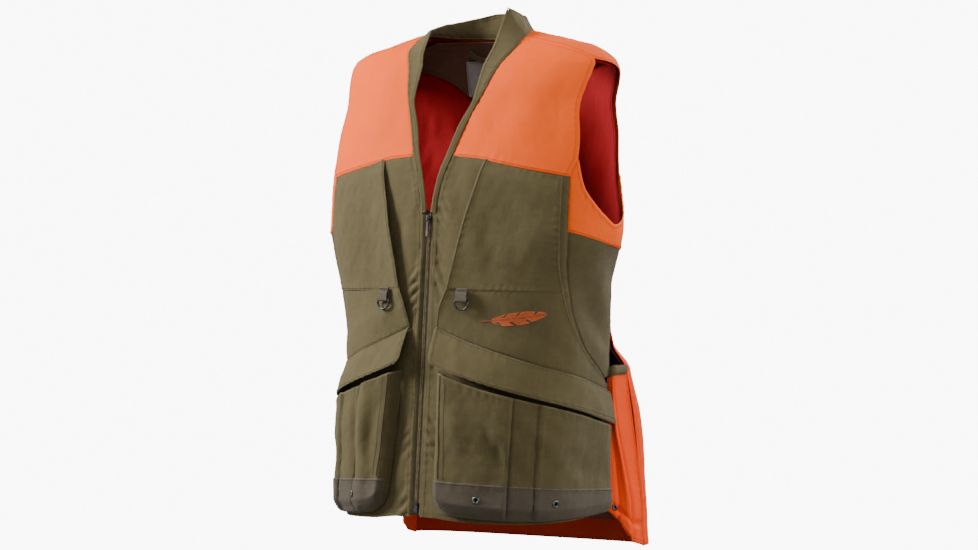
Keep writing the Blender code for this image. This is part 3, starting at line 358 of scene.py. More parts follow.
def bag_wall_points(columns=14):
    rows = [bag_row((0.2050, 0.1120, TAIL + 0.006), BAG_BACK_Y["tail"], columns)]
    rows.append(bag_row((0.2020, 0.1130, -0.6930), BAG_BACK_Y["tail"], columns))
    rows.append(bag_row((0.1970, 0.1060, -0.6130), BAG_BACK_Y["deep"], columns))
    rows.append(bag_row((0.1940, 0.0980, -0.5500), 0.1390, columns))
    rows.append(bag_row((0.1900, 0.0880, MOUTH), BAG_BACK_Y["mouth"], columns))
    # the top edge is sewn to the back panel
    angles = 119.5 + (240.5 - 119.5) * np.linspace(0.0, 1.0, columns + 1)
    seam = lifted(angles, np.full(columns + 1, BAG_SEAM + 0.006), 0.0026)
    middle = rows[-1] * 0.52 + seam * 0.48
    return np.stack(rows + [middle, seam])


def refined(points, rows):
    """More rows in a grid, smoothly between the given ones."""
    height = np.linspace(0.0, 1.0, len(points))
    wanted = np.linspace(0.0, 1.0, rows + 1)
    flat = points.reshape(len(points), -1)
    fine = np.stack([pchip(height, flat[:, k], wanted) for k in range(flat.shape[1])], axis=-1)
    return fine.reshape(rows + 1, *points.shape[1:])


# ---------------------------------------------------------------- colours
def linear(red, green, blue):
    """Linear colour from 0-255 display values."""
    values = [c / 255.0 for c in (red, green, blue)]
    return tuple(c / 12.92 if c <= 0.04045 else ((c + 0.055) / 1.055) ** 2.4 for c in values)


class Nodes:
    """Short hand for building a material's node tree."""

    def __init__(self, name):
        self.material = bpy.data.materials.new(name)
        self.material.use_nodes = True
        self.tree = self.material.node_tree
        self.shader = self.tree.nodes["Principled BSDF"]

    def add(self, kind, inputs=None, **settings):
        node = self.tree.nodes.new(kind)
        for key, value in settings.items():
            setattr(node, key, value)
        for key, value in (inputs or {}).items():
            if isinstance(value, bpy.types.NodeSocket):
                self.tree.links.new(value, node.inputs[key])
            else:
                node.inputs[key].default_value = value
        return node

    def math(self, operation, a, b=0.0, clamp=False):
        node = self.add("ShaderNodeMath", {0: a, 1: b}, operation=operation, use_clamp=clamp)
        return node.outputs[0]

    def mix(self, factor, a, b, blend="MIX"):
        node = self.add("ShaderNodeMix", {"Factor": factor}, data_type="RGBA", blend_type=blend)
        for socket, value in ((node.inputs[6], a), (node.inputs[7], b)):
            if isinstance(value, bpy.types.NodeSocket):
                self.tree.links.new(value, socket)
            else:
                socket.default_value = (*value, 1.0)
        return node.outputs[2]

    def noise(self, vector, scale, detail=2.0, rough=0.5):
        return self.add("ShaderNodeTexNoise", {"Vector": vector, "Scale": scale, "Detail": detail,
                                               "Roughness": rough}).outputs["Fac"]

    def ramp(self, value, low, high):
        node = self.add("ShaderNodeMapRange", {0: value, 1: low, 2: high})
        return node.outputs[0]

    def link(self, output, name):
        self.tree.links.new(output, self.shader.inputs[name])


YARN = 0.00062             # pitch of the body cloth's yarns


def cloth_material(name, light, dark, mottle=0.5, yarn=YARN, relief=0.35, rough=0.85,
                   sheen=0.08, wear=0.25, twill=True, streak=0.35):
    """Woven cloth: yarns, mottling, streaks and rubbed edges from the cloth attribute."""
    n = Nodes(name)
    place = n.add("ShaderNodeAttribute", attribute_name="cloth").outputs["Vector"]
    part = n.add("ShaderNodeSeparateXYZ", {0: place})
    along, up, rim = part.outputs
    space = n.add("ShaderNodeTexCoord").outputs["Object"]
    turn = 2 * math.pi / yarn
    warp = n.math("SINE", n.math("MULTIPLY", along, turn))
    weft = n.math("SINE", n.math("MULTIPLY", up, turn))
    weave = n.math("MULTIPLY", warp, weft)
    if twill:
        rib = n.math("SINE", n.math("MULTIPLY", n.math("ADD", along, up), turn * 0.5))
        weave = n.math("ADD", n.math("MULTIPLY", weave, 0.5), n.math("MULTIPLY", rib, 0.6))
    broad = n.noise(space, 9.0, 3.0, 0.55)
    middle = n.noise(space, 55.0, 3.0, 0.6)
    grit = n.noise(space, 900.0, 2.0, 0.7)
    stretched = n.add("ShaderNodeMapping", {"Vector": place, "Scale": (260.0, 26.0, 0.0)})
    slub = n.noise(stretched.outputs[0], 1.0, 2.0, 0.6)
    crossed = n.add("ShaderNodeMapping", {"Vector": place, "Scale": (22.0, 300.0, 0.0)})
    pick = n.noise(crossed.outputs[0], 1.0, 2.0, 0.6)
    mixed = n.math("ADD", n.math("MULTIPLY", broad, 0.4), n.math("MULTIPLY", middle, 0.7))
    mixed = n.math("ADD", mixed, n.math("MULTIPLY", n.math("ADD", slub, pick), streak))
    mixed = n.math("ADD", mixed, n.math("MULTIPLY", grit, 1.0))
    centre = 1.05 + streak
    spread = 0.30 / max(mottle, 0.05)
    tone = n.ramp(mixed, centre - spread, centre + spread)
    colour = n.mix(tone, dark, light)
    colour = n.mix(n.math("MULTIPLY", n.math("ADD", weave, 1.0), 0.10), colour,
                   tuple(c * 0.45 for c in dark))
    # rubbed paler on folded edges
    edge = n.ramp(rim, 0.0022, 0.0)
    rubbed = n.math("MULTIPLY", n.math("MULTIPLY", edge, n.ramp(middle, 0.35, 0.7)), wear)
    colour = n.mix(rubbed, colour, tuple(min(1.0, c * 1.7 + 0.02) for c in light))
    n.link(colour, "Base Color")
    roughness = n.math("ADD", n.math("MULTIPLY", grit, 0.16), rough - 0.08, clamp=True)
    n.link(roughness, "Roughness")
    height = n.math("ADD", n.math("MULTIPLY", weave, 0.5), n.math("MULTIPLY", grit, 1.2))
    height = n.math("ADD", height, n.math("MULTIPLY", n.math("ADD", slub, pick), 1.4))
    height = n.math("ADD", height, n.math("MULTIPLY", middle, 2.2))
    bump = n.add("ShaderNodeBump", {"Height": height, "Strength": relief, "Distance": 0.0006})
    n.link(bump.outputs[0], "Normal")
    n.shader.inputs["Sheen Weight"].default_value = sheen
    n.shader.inputs["Sheen Roughness"].default_value = 0.55
    n.shader.inputs["Specular IOR Level"].default_value = 0.15
    return n.material


def metal_material(name, light, dark, rough=0.38):
    """Blackened metal, rubbed brighter in patches."""
    n = Nodes(name)
    space = n.add("ShaderNodeTexCoord").outputs["Object"]
    patch_noise = n.noise(space, 420.0, 3.0, 0.6)
    fine = n.noise(space, 2600.0, 2.0, 0.6)
    n.link(n.mix(n.ramp(patch_noise, 0.40, 0.70), dark, light), "Base Color")
    n.link(n.math("ADD", n.math("MULTIPLY", fine, 0.25), rough - 0.12), "Roughness")
    bump = n.add("ShaderNodeBump", {"Height": fine, "Strength": 0.15, "Distance": 0.0002})
    n.link(bump.outputs[0], "Normal")
    n.shader.inputs["Metallic"].default_value = 0.85
    return n.material


def moulded_material(name, light, dark, rough=0.5):
    """Moulded plastic or rubber with a fine grain."""
    n = Nodes(name)
    space = n.add("ShaderNodeTexCoord").outputs["Object"]
    grain = n.noise(space, 1500.0, 3.0, 0.6)
    tone = n.noise(space, 160.0, 2.0, 0.5)
    n.link(n.mix(n.ramp(tone, 0.35, 0.65), dark, light), "Base Color")
    n.link(n.math("ADD", n.math("MULTIPLY", grain, 0.3), rough - 0.15), "Roughness")
    bump = n.add("ShaderNodeBump", {"Height": grain, "Strength": 0.3, "Distance": 0.0003})
    n.link(bump.outputs[0], "Normal")
    return n.material


SMOOTH_ORANGE = {"mottle": 0.25, "yarn": 0.0005, "relief": 0.14, "sheen": 0.0, "wear": 0.0,
                 "twill": False, "streak": 0.10}
THREAD = {"yarn": 0.0003, "relief": 0.5, "wear": 0.0}
OLIVE_CLOTH = cloth_material("olive_canvas", (0.134, 0.106, 0.042), (0.074, 0.058, 0.023),
                             mottle=0.5, wear=0.3)
# A darker copy of the olive canvas for the side panels, the pockets and the pockets' piped ridge:
# painted shade.
OLIVE_SHADED = cloth_material("olive_canvas_painted_shade", (0.122, 0.096, 0.038), (0.066, 0.052, 0.020),
                            mottle=0.55, wear=0.4)
TRIM_CLOTH = cloth_material("olive_trim", (0.125, 0.099, 0.040), (0.094, 0.074, 0.030), mottle=0.5)
ORANGE_CLOTH = cloth_material("orange_cloth", (0.96, 0.118, 0.001), (0.93, 0.098, 0.001),
                               rough=0.75, **SMOOTH_ORANGE)
BAG_CLOTH = cloth_material("orange_bag_cloth", (0.98, 0.075, 0.002), (0.94, 0.062, 0.001),
                               rough=0.7, **SMOOTH_ORANGE)
KICK_CLOTH = cloth_material("coated_dark_cloth", (0.096, 0.075, 0.050), (0.068, 0.053, 0.036),
                            mottle=0.5, relief=0.3, rough=0.7, sheen=0.06, wear=0.3)
# Red lining: partly its own red and partly painted shade, made deeper for the shade inside the vest.
RED_LINING_SHADED = cloth_material("red_lining", (0.38, 0.001, 0.005), (0.26, 0.0, 0.004), mottle=0.3,
                           yarn=0.0009, relief=0.3, rough=0.8, sheen=0.03, wear=0.0,
                           twill=False)
BROWN_CLOTH = cloth_material("brown_liner", linear(112, 80, 58), linear(86, 60, 44), mottle=0.4,
                             relief=0.25, rough=0.75, sheen=0.06, wear=0.0, twill=False)
BAG_LINER_CLOTH = cloth_material("bag_liner_cloth", linear(120, 66, 66), linear(94, 50, 52),
                                 mottle=0.4, relief=0.25, rough=0.6, sheen=0.03, wear=0.0,
                                 twill=False)
# A darker, redder copy of the bag's orange for the inside face of the bag cloth and for the bag's
# floor: painted shade.
TAIL_ORANGE_SHADED = cloth_material("tail_orange_painted_shade", linear(196, 56, 20), linear(164, 40, 14), mottle=0.5,
                            relief=0.25, rough=0.75, sheen=0.03, wear=0.0, twill=False)
WEBBING_CLOTH = cloth_material("grey_webbing", linear(108, 98, 82), linear(76, 69, 57),
                               mottle=0.5, yarn=0.0011, relief=0.8, twill=True, wear=0.2)
LABEL_CLOTH = cloth_material("label_weave", linear(176, 176, 172), linear(150, 150, 146),
                             mottle=0.4, yarn=0.0005, relief=0.3, rough=0.5, sheen=0.1, wear=0.0)
TAPE_CLOTH = cloth_material("zip_tape", (0.085, 0.068, 0.028), (0.060, 0.047, 0.020), yarn=0.0009,
                            relief=0.6, wear=0.0)
OLIVE_THREAD = cloth_material("olive_thread", linear(104, 90, 52), linear(78, 66, 36), **THREAD)
DARK_THREAD = cloth_material("dark_thread", linear(84, 74, 54), linear(60, 52, 38), **THREAD)
ORANGE_THREAD = cloth_material("orange_thread", linear(226, 70, 10), linear(200, 56, 6), **THREAD)
RED_THREAD = cloth_material("red_thread", linear(120, 6, 10), linear(90, 4, 8), **THREAD)
MOTIF_THREAD = cloth_material("motif_thread", linear(214, 98, 26), linear(186, 78, 18),
                              yarn=0.0004, relief=0.6, sheen=0.4, wear=0.0)
DARK_METAL = metal_material("dark_metal", linear(96, 94, 90), linear(44, 43, 42))
EYELET_METAL = metal_material("eyelet_metal", linear(128, 126, 120), linear(70, 69, 66))
COIL_PLASTIC = moulded_material("zip_coil_plastic", linear(128, 114, 78), linear(98, 86, 58))
PULL_RUBBER = moulded_material("pull_rubber", linear(64, 42, 36), linear(44, 28, 24))


# ---------------------------------------------------------------- cloth grids
random = np.random.default_rng(11)
WAVES = random.normal(size=(14, 3))
WAVES /= np.linalg.norm(WAVES, axis=1, keepdims=True)
PHASES = random.uniform(0, 2 * math.pi, 14)


def ripple(points, wavelength, seed=0):
    """Smooth noise in space, about -1 to 1."""
    total = np.zeros(points.shape[:-1])
    for i in range(6):
        k = (i + 5 * seed) % 14
        scale = 2 * math.pi / wavelength * (0.7 + 0.12 * i)
        total += np.sin(points @ WAVES[k] * scale + PHASES[(k + seed) % 14] + seed)
    return total / 3.2


def arc_lengths(points, axis):
    steps = np.linalg.norm(np.diff(points, axis=axis), axis=-1)
    start = [(0, 0), (0, 0)]
    start[axis] = (1, 0)
    return np.pad(np.cumsum(steps, axis=axis), start)


def grid_normals(points, side):
    across = np.gradient(points, axis=1)
    up = np.gradient(points, axis=0)
    normal = np.cross(across, up) * side
    return normal / np.maximum(np.linalg.norm(normal, axis=-1, keepdims=True), 1e-12)


FOLD_LINE = 0.0058         # topstitching runs this far in from a folded edge


class Cloth:
    """A cloth panel as a grid of points: columns run along, rows run up."""

    def __init__(self, points, side=1):
        self.side = side
        if side == -1:
            points = points * np.array([-1.0, 1.0, 1.0])
        self.points = points
        self.base = points.copy()
        self.normal = grid_normals(points, side)
        self.along = arc_lengths(points, 1)
        self.up = arc_lengths(points, 0)
        self.rim = {"left": self.along, "right": self.along[:, -1:] - self.along,
                    "bottom": self.up, "top": self.up[-1:] - self.up}

    def size(self):
        return float(self.along[:, -1].max()), float(self.up[-1].max())

    def area(self):
        a = np.diff(self.base, axis=1)[:-1]
        b = np.diff(self.base, axis=0)[:, :-1]
        return float(np.linalg.norm(np.cross(a, b), axis=-1).sum())

    def raise_by(self, height):
        self.points = self.points + self.normal * height[..., None]
        return self

    def edge(self, which, kind, seed=0.0, pucker=0.00035, line=FOLD_LINE):
        """Shape one edge: a sunk seam, or a folded and topstitched hem."""
        d = self.rim[which]
        run = self.up if which in ("left", "right") else self.along
        wave = np.sin(run * 2 * math.pi / 0.0125 + 2.6 * np.sin(run * 43 + seed) + seed)
        wave = wave * (0.25 + 0.75 * np.sin(run * 23 + 3 * seed) ** 2)
        if kind == "seam":
            height = -0.0014 * bell(d, 0.0020)
            height = height + pucker * 0.8 * wave * bell(d - 0.004, 0.0045)
        else:
            height = -0.0009 * bell(d, 0.0009)
            height = height + 0.0006 / (1 + np.exp(np.clip((d - line - 0.0022) / 0.0006, -30, 30)))
            height = height - 0.0005 * bell(d - line, 0.0011)
            height = height + pucker * wave * bell(d - line, 0.0055)
        return self.raise_by(height)

    def rucks(self, which, distance, width, height, seed=0.0):
        """Uneven slanting tucks beside a seam that draws the cloth up."""
        d = self.rim[which]
        run = self.up if which in ("left", "right") else self.along
        wave = np.sin(run * 300 + d * 190 + 2.4 * np.sin(run * 37 + seed) + seed)
        wave = np.abs(wave) ** 0.7 * np.sign(wave)
        share = np.clip(0.15 + np.sin(run * 17 + 2 * seed) * np.sin(run * 41 + seed), 0.0, 1.0)
        return self.raise_by(height * wave * share * bell(d - distance, width))

    def drape(self, broad=0.0012, fine=0.0004, seed=0):
        """Soft unevenness of worn cloth, fading to nothing at the border."""
        hold = np.minimum.reduce(list(np.broadcast_arrays(*self.rim.values())))
        free = np.clip(hold / 0.03, 0.0, 1.0)
        height = broad * ripple(self.base, 0.16, seed) + fine * ripple(self.base, 0.045, seed + 1)
        height = height + 0.35 * fine * ripple(self.base, 0.018, seed + 2)
        return self.raise_by(height * (0.25 + 0.75 * free))

    def folds(self, lines, places):
        """Raise or sink soft creases: (angle, z, angle, z, width, height)."""
        angle, z = places[..., 0], places[..., 1]
        q = np.radians(angle) * 0.19
        total = np.zeros(self.points.shape[:2])
        for a0, z0, a1, z1, width, height in lines:
            p0 = np.array([math.radians(a0) * 0.19, z0])
            p1 = np.array([math.radians(a1) * 0.19, z1])
            d = p1 - p0
            t = np.clip(((q - p0[0]) * d[0] + (z - p0[1]) * d[1]) / (d @ d), 0.0, 1.0)
            away = np.hypot(q - p0[0] - t * d[0], z - p0[1] - t * d[1])
            total += height * bell(away, width) * (0.35 + 0.65 * np.sin(math.pi * t))
        return self.raise_by(total)

    def sew(self, key, which, distance, lift):
        stitch(key, self.line_inside(which, distance, lift))

    def line_inside(self, which, distance, lift=0.0):
        """Points and normals of a line at a distance from one edge."""
        normal = grid_normals(self.points, self.side)
        outer = self.points + normal * lift
        d = np.broadcast_to(self.rim[which], self.points.shape[:2])
        vertical = which in ("left", "right")
        rows = self.points.shape[0] if vertical else self.points.shape[1]
        spots, faces = [], []
        for i in range(rows):
            run = d[i] if vertical else d[:, i]
            data = outer[i] if vertical else outer[:, i]
            facing = normal[i] if vertical else normal[:, i]
            if which in ("right", "top"):
                run, data, facing = run[::-1], data[::-1], facing[::-1]
            if run[-1] < distance:
                continue
            spots.append(resampled(distance, run, data))
            faces.append(resampled(distance, run, facing))
        return np.array(spots), np.array(faces)


def mesh_object(name, verts, faces, material):
    mesh = bpy.data.meshes.new(name)
    mesh.from_pydata([tuple(v) for v in verts], [], faces)
    mesh.materials.append(material)
    mesh.shade_smooth()
    obj = bpy.data.objects.new(name, mesh)
    bpy.context.scene.collection.objects.link(obj)
    return obj


def face_outward(obj):
    bm = bmesh.new()
    bm.from_mesh(obj.data)
    bmesh.ops.recalc_face_normals(bm, faces=bm.faces)
    bm.to_mesh(obj.data)
    bm.free()


def ring_faces(count, sides, closed=False, at=0):
    """Faces of a skin over rings of vertices, capped unless it is closed."""
    faces = []
    for i in range(count if closed else count - 1):
        a, b = at + i * sides, at + (i + 1) % count * sides
        for k in range(sides):
            m = (k + 1) % sides
            faces.append((a + k, a + m, b + m, b + k))
    if not closed:
        faces.append(tuple(at + k for k in range(sides))[::-1])
        faces.append(tuple(at + (count - 1) * sides + k for k in range(sides)))
    return faces


def attach(obj, body, node=None):
    """Put a piece on its body, in place of a CAD node."""
    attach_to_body(obj, body)
    if node:
        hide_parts(node)


def cloth_attribute(mesh, values):
    layer = mesh.attributes.new("cloth", "FLOAT_VECTOR", "POINT")
    layer.data.foreach_set("vector", np.asarray(values, np.float32).ravel())


def show(cloth, name, thickness, material, replaces=(),
         body="vest", blend=None, keep=None, plies=1.0):
    rows, columns = cloth.points.shape[:2]
    index = np.arange(rows * columns).reshape(rows, columns)
    corners = [index[:-1, :-1], index[:-1, 1:], index[1:, 1:], index[1:, :-1]]
    if cloth.side == -1:
        corners.reverse()
    faces = np.stack(corners, axis=-1).reshape(-1, 4)
    if keep is not None:
        faces = faces[keep.reshape(-1)]
    verts = cloth.points.reshape(-1, 3)
    used = np.unique(faces)
    renumber = np.zeros(len(verts), int)
    renumber[used] = np.arange(len(used))
    obj = mesh_object(name, verts[used], renumber[faces].tolist(), material)
    rim = np.minimum.reduce(list(np.broadcast_arrays(*cloth.rim.values())))
    values = np.stack([cloth.along, cloth.up, rim], axis=-1).reshape(-1, 3)
    cloth_attribute(obj.data, values[used])
    bm = bmesh.new()
    bm.from_mesh(obj.data)
    for edge in bm.edges:
        if len(edge.link_faces) == 1:
            edge.smooth = False
    bm.to_mesh(obj.data)
    bm.free()
    solid = obj.modifiers.new("thickness", "SOLIDIFY")
    solid.thickness = thickness
    solid.offset = 1.0
    if blend:
        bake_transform(obj)
    else:
        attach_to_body(obj, body)
    if replaces:
        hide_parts(*replaces)
    width, length = cloth.size()
    area = min(cloth.area(), width * length) * plies
    length *= plies
    return obj


def places_lifted(places, lift=0.0):
    return lifted(places[..., 0], places[..., 1], lift)


# ---------------------------------------------------------------- stitching
STITCHES = {}              # rows of stitches by name: (points, tangents, normals)
STITCH_PITCH, STITCH_LENGTH, STITCH_RADIUS = 0.0034, 0.0025, 0.00042
SHELL_THREAD, YOKE_THREAD = 0.0014, 0.0013   # height of the thread on each cloth


def stitch(key, line, pitch=STITCH_PITCH, trim=0.004):
    """Lay a row of stitches along a line of points with normals."""
    spots, normals = line
    if len(spots) < 3:
        return
    run = np.concatenate([[0], np.cumsum(np.linalg.norm(np.diff(spots, axis=0), axis=1))])
    if run[-1] < 3 * trim:
        return
    wanted = np.arange(trim, run[-1] - trim, pitch)
    at = resampled(wanted, run, spots)
    ahead = resampled(wanted + 0.001, run, spots)
    normal = resampled(wanted, run, normals)
    STITCHES.setdefault(key, []).append((at, ahead - at, normal))


def thread_mesh(name, rows, material, length=STITCH_LENGTH, radius=STITCH_RADIUS):
    """One mesh of small spindles, one for each stitch."""
    at, tangent, normal = (np.concatenate([row[k] for row in rows]) for k in range(3))
    tangent = tangent / np.maximum(np.linalg.norm(tangent, axis=1, keepdims=True), 1e-9)
    normal = normal - tangent * (normal * tangent).sum(axis=1, keepdims=True)
    normal = normal / np.maximum(np.linalg.norm(normal, axis=1, keepdims=True), 1e-9)
    side = np.cross(tangent, normal)
    ring = [(math.cos(a), math.sin(a)) for a in np.linspace(0, 2 * math.pi, 6)[:-1]]
    if np.ndim(length) == 0:
        length = np.full(len(at), length)
    length = np.asarray(length)[:, None]
    verts = [at - tangent * length / 2, at + tangent * length / 2]
    for share in (-0.28, 0.28):
        for c, s in ring:
            verts.append(at + tangent * length * share + side * radius * c
                         + normal * radius * (s + 0.2))
    verts = np.stack(verts, axis=1)
    template = []
    for i in range(5):
        j = (i + 1) % 5
        template.append((0, 2 + j, 2 + i))
        template.append((1, 7 + i, 7 + j))
        template.append((2 + i, 2 + j, 7 + j, 7 + i))
    faces = [tuple(k + 12 * n for k in face) for n in range(len(at)) for face in template]
    obj = mesh_object(name, verts.reshape(-1, 3), faces, material)
    spread = np.repeat(np.cumsum(np.full(len(at), 0.003)), 12)
    cloth_attribute(obj.data, np.stack([spread, spread * 0, spread * 0 + 0.01], axis=-1))
    return obj


def frame_at(origin, x_axis, y_axis):
    """World matrix with the given origin and first two axes."""
    x = Vector(x_axis).normalized()
    z = x.cross(Vector(y_axis)).normalized()
    y = z.cross(x)
    matrix = Matrix((x, y, z)).transposed().to_4x4()
    matrix.translation = Vector(origin)
    return matrix


def tube(name, path, radius, material, sides=10, closed=False):
    """A round tube along a path of points, with its own along/around attribute."""
    path = np.asarray(path, float)
    radius = np.broadcast_to(np.asarray(radius, float), len(path))
    if closed:
        tangent = np.roll(path, -1, axis=0) - np.roll(path, 1, axis=0)
    else:
        tangent = np.gradient(path, axis=0)
    tangent /= np.linalg.norm(tangent, axis=1, keepdims=True)
    normal = np.zeros_like(path)
    seed = np.array([0.0, 0.0, 1.0]) if abs(tangent[0][2]) < 0.8 else np.array([0.0, 1.0, 0.0])
    previous = np.cross(tangent[0], seed)
    for i, t in enumerate(tangent):
        previous = previous - t * (previous @ t)
        previous /= np.linalg.norm(previous)
        normal[i] = previous
    binormal = np.cross(tangent, normal)
    turn = np.linspace(0, 2 * math.pi, sides, endpoint=False)
    ring = (np.cos(turn)[None, :, None] * normal[:, None]
            + np.sin(turn)[None, :, None] * binormal[:, None])
    verts = path[:, None] + ring * radius[:, None, None]
    count = len(path)
    faces = ring_faces(count, sides, closed)
    obj = mesh_object(name, verts.reshape(-1, 3), faces, material)
    face_outward(obj)
    run = np.concatenate([[0], np.cumsum(np.linalg.norm(np.diff(path, axis=0), axis=1))])
    values = np.stack([np.repeat(run, sides), np.tile(turn * radius.mean(), count),
                       np.full(count * sides, 0.01)], axis=-1)
    cloth_attribute(obj.data, values)
    return obj


def lathe(name, profile, matrix, material, sides=28):
    """A closed profile of (radius, height) turned about a frame's Z axis."""
    turn = np.linspace(0, 2 * math.pi, sides, endpoint=False)
    count = len(profile)
    verts = [matrix @ Vector((r * math.cos(a), r * math.sin(a), h)) for a in turn for r, h in profile]
    faces = []
    for i in range(sides):
        j = (i + 1) % sides
        for k in range(count):
            m = (k + 1) % count
            faces.append((i * count + k, j * count + k, j * count + m, i * count + m))
    obj = mesh_object(name, verts, faces, material)
    face_outward(obj)
    return obj


SIDES = ((1, "left"), (-1, "right"))

# ---------------------------------------------------------------- body panels
# Drape folds, as (angle, z, angle, z, width, height), the left side's in
# positive angles and the right side's mirrored from its own list
FRONT_FOLDS = {
    1: [(6, -0.300, 16, -0.345, 0.010, -0.0016), (6, -0.370, 14, -0.402, 0.008, 0.0014),
        (5, -0.455, 13, -0.500, 0.009, -0.0015), (6, -0.560, 12, -0.610, 0.008, 0.0014),
        (12, -0.200, 24, -0.320, 0.020, 0.0018)],
    -1: [(10, -0.215, 22, -0.330, 0.018, 0.0020), (5, -0.300, 14, -0.350, 0.009, -0.0015),
         (5, -0.420, 13, -0.470, 0.009, 0.0014), (6, -0.520, 15, -0.600, 0.012, -0.0018),
         (10, -0.610, 20, -0.670, 0.012, 0.0018)],
}
CHEST_FOLDS = {
    1: [(44, -0.215, 66, -0.330, 0.026, -0.0030), (30, -0.225, 40, -0.345, 0.022, 0.0024),
        (70, -0.250, 56, -0.345, 0.018, 0.0018), (36, -0.200, 64, -0.232, 0.016, 0.0014)],
    -1: [(30, -0.215, 26, -0.345, 0.020, 0.0022), (50, -0.220, 44, -0.350, 0.022, -0.0026),
         (64, -0.240, 60, -0.340, 0.016, 0.0018)],
}
WAIST_FOLDS = {
    1: [(30, -0.385, 60, -0.430, 0.020, -0.0016), (66, -0.385, 84, -0.450, 0.020, 0.0020),
        (50, -0.440, 80, -0.470, 0.014, 0.0014), (86, -0.430, 100, -0.480, 0.014, -0.0016)],
    -1: [(24, -0.380, 46, -0.430, 0.018, 0.0020), (50, -0.380, 70, -0.440, 0.018, -0.0022),
         (60, -0.440, 90, -0.480, 0.018, 0.0020)],
}
SIDE_FOLDS = [(84, -0.320, 112, -0.420, 0.022, 0.0035), (82, -0.370, 110, -0.455, 0.018, -0.0035),
              (96, -0.320, 116, -0.370, 0.014, -0.0025), (90, -0.420, 112, -0.480, 0.014, 0.0025)]
YOKE_FOLDS = {
    1: [(56, -0.075, 40, -0.165, 0.024, -0.0022), (70, -0.090, 66, -0.180, 0.016, -0.0018),
        (30, -0.120, 50, -0.175, 0.018, 0.0016)],
    -1: [(58, -0.060, 44, -0.160, 0.024, 0.0020), (70, -0.090, 62, -0.180, 0.018, -0.0018)],
}


BACK_FOLDS = [(124, -0.070, 140, -0.240, 0.022, -0.0030), (148, -0.060, 152, -0.220, 0.020, 0.0030),
              (206, -0.060, 204, -0.230, 0.022, -0.0028), (232, -0.080, 218, -0.250, 0.022, 0.0030),
              (176, -0.180, 184, -0.290, 0.020, 0.0022)]


def make_yokes():
    left = NECK_FRONT[YOKE_CORNER:]
    right = between(PRINCESS, -0.2060, -0.1830) + ARMHOLE_FRONT[1:] + SHOULDER_SEAM
    hem = [(angle, z - 0.0022) for angle, z in YOKE_HEM]
    left = [hem[0]] + left[1:]
    right = [hem[-1]] + right[1:]
    places = patch(hem, [left[-1], right[-1]], left, right, 96, 120)
    for side, tag in SIDES:
        yoke = Cloth(places_lifted(places, 0.0009), side)
        yoke.drape(0.0016, 0.0004, 3 + side).folds(YOKE_FOLDS[side], places)
        yoke.edge("bottom", "fold", 1.0, 0.00025).edge("right", "fold", 2.0, 0.0003)
        yoke.edge("top", "seam", 3.0).edge("left", "seam", 4.0)
        show(yoke, "yoke_front_" + tag, YOKE_PLY, ORANGE_CLOTH, ["front_yoke_" + tag])
        yoke.sew("orange", "bottom", 0.0030, YOKE_THREAD)
        yoke.sew("orange", "right", FOLD_LINE, YOKE_THREAD)
        yoke.sew("orange", "top", 0.0040, YOKE_THREAD)

    left = between(SIDE_SEAM, BACK_YOKE_HEM, -0.200) + ARMHOLE_BACK + SHOULDER_SEAM
    neck = NECK_BACK + both_sides(NECK_BACK[-2::-1])
    hem = across_back(left, BACK_YOKE_HEM)
    places = patch(hem, neck, left, both_sides(left), 190, 120)
    yoke = Cloth(places_lifted(places, 0.0006))
    yoke.drape(0.0030, 0.0009, 5)
    yoke.folds(BACK_FOLDS, places)
    yoke.edge("bottom", "fold", 1.0, 0.00025).edge("left", "fold", 2.0).edge("right", "fold", 3.0)
    yoke.edge("top", "seam", 3.0)
    show(yoke, "yoke_back", YOKE_PLY, ORANGE_CLOTH, ["back_yoke"])
    for which in ("bottom", "left", "right"):
        yoke.sew("orange", which, FOLD_LINE if which != "bottom" else 0.003, YOKE_THREAD)


ZIP_EDGE = 0.0084          # from the centre plane to a front panel's folded edge


def make_fronts():
    left = [front(ZIP_EDGE, HEM + 0.0095), front(ZIP_EDGE, -0.480),
            front(ZIP_EDGE, -0.266)] + NECK_FRONT[:YOKE_CORNER + 1]
    right = between(SIDE_SEAM, BAG_FLOOR, -0.5050) + between(PRINCESS, -0.5040, -0.2060)
    bottom = [left[0], (14.0, HEM + 0.0085), (32.0, HEM + 0.004), (60.0, HEM + 0.002), right[0]]
    places = patch(bottom, YOKE_HEM, left, right, 130, 230)
    for side, tag in SIDES:
        panel = Cloth(places_lifted(places, 0.0), side)
        panel.drape(0.0010, 0.0005, 7 + side)
        panel.folds(FRONT_FOLDS[side], places)
        panel.edge("left", "fold", side * 1.0, 0.0005, 0.0070).edge("bottom", "fold", 5.0, 0.0004)
        panel.rucks("left", 0.0130, 0.0075, 0.0022, side * 1.0 + 2.0)
        panel.rucks("bottom", 0.0100, 0.0060, 0.0012, side * 2.0)
        panel.edge("right", "seam", 6.0)
        show(panel, "front_" + tag, SHELL, OLIVE_CLOTH, ["front_panel_" + tag])
        panel.sew("olive", "left", 0.0070, SHELL_THREAD)
        panel.sew("olive", "left", 0.0016, SHELL_THREAD)
        panel.sew("olive", "bottom", FOLD_LINE, SHELL_THREAD)


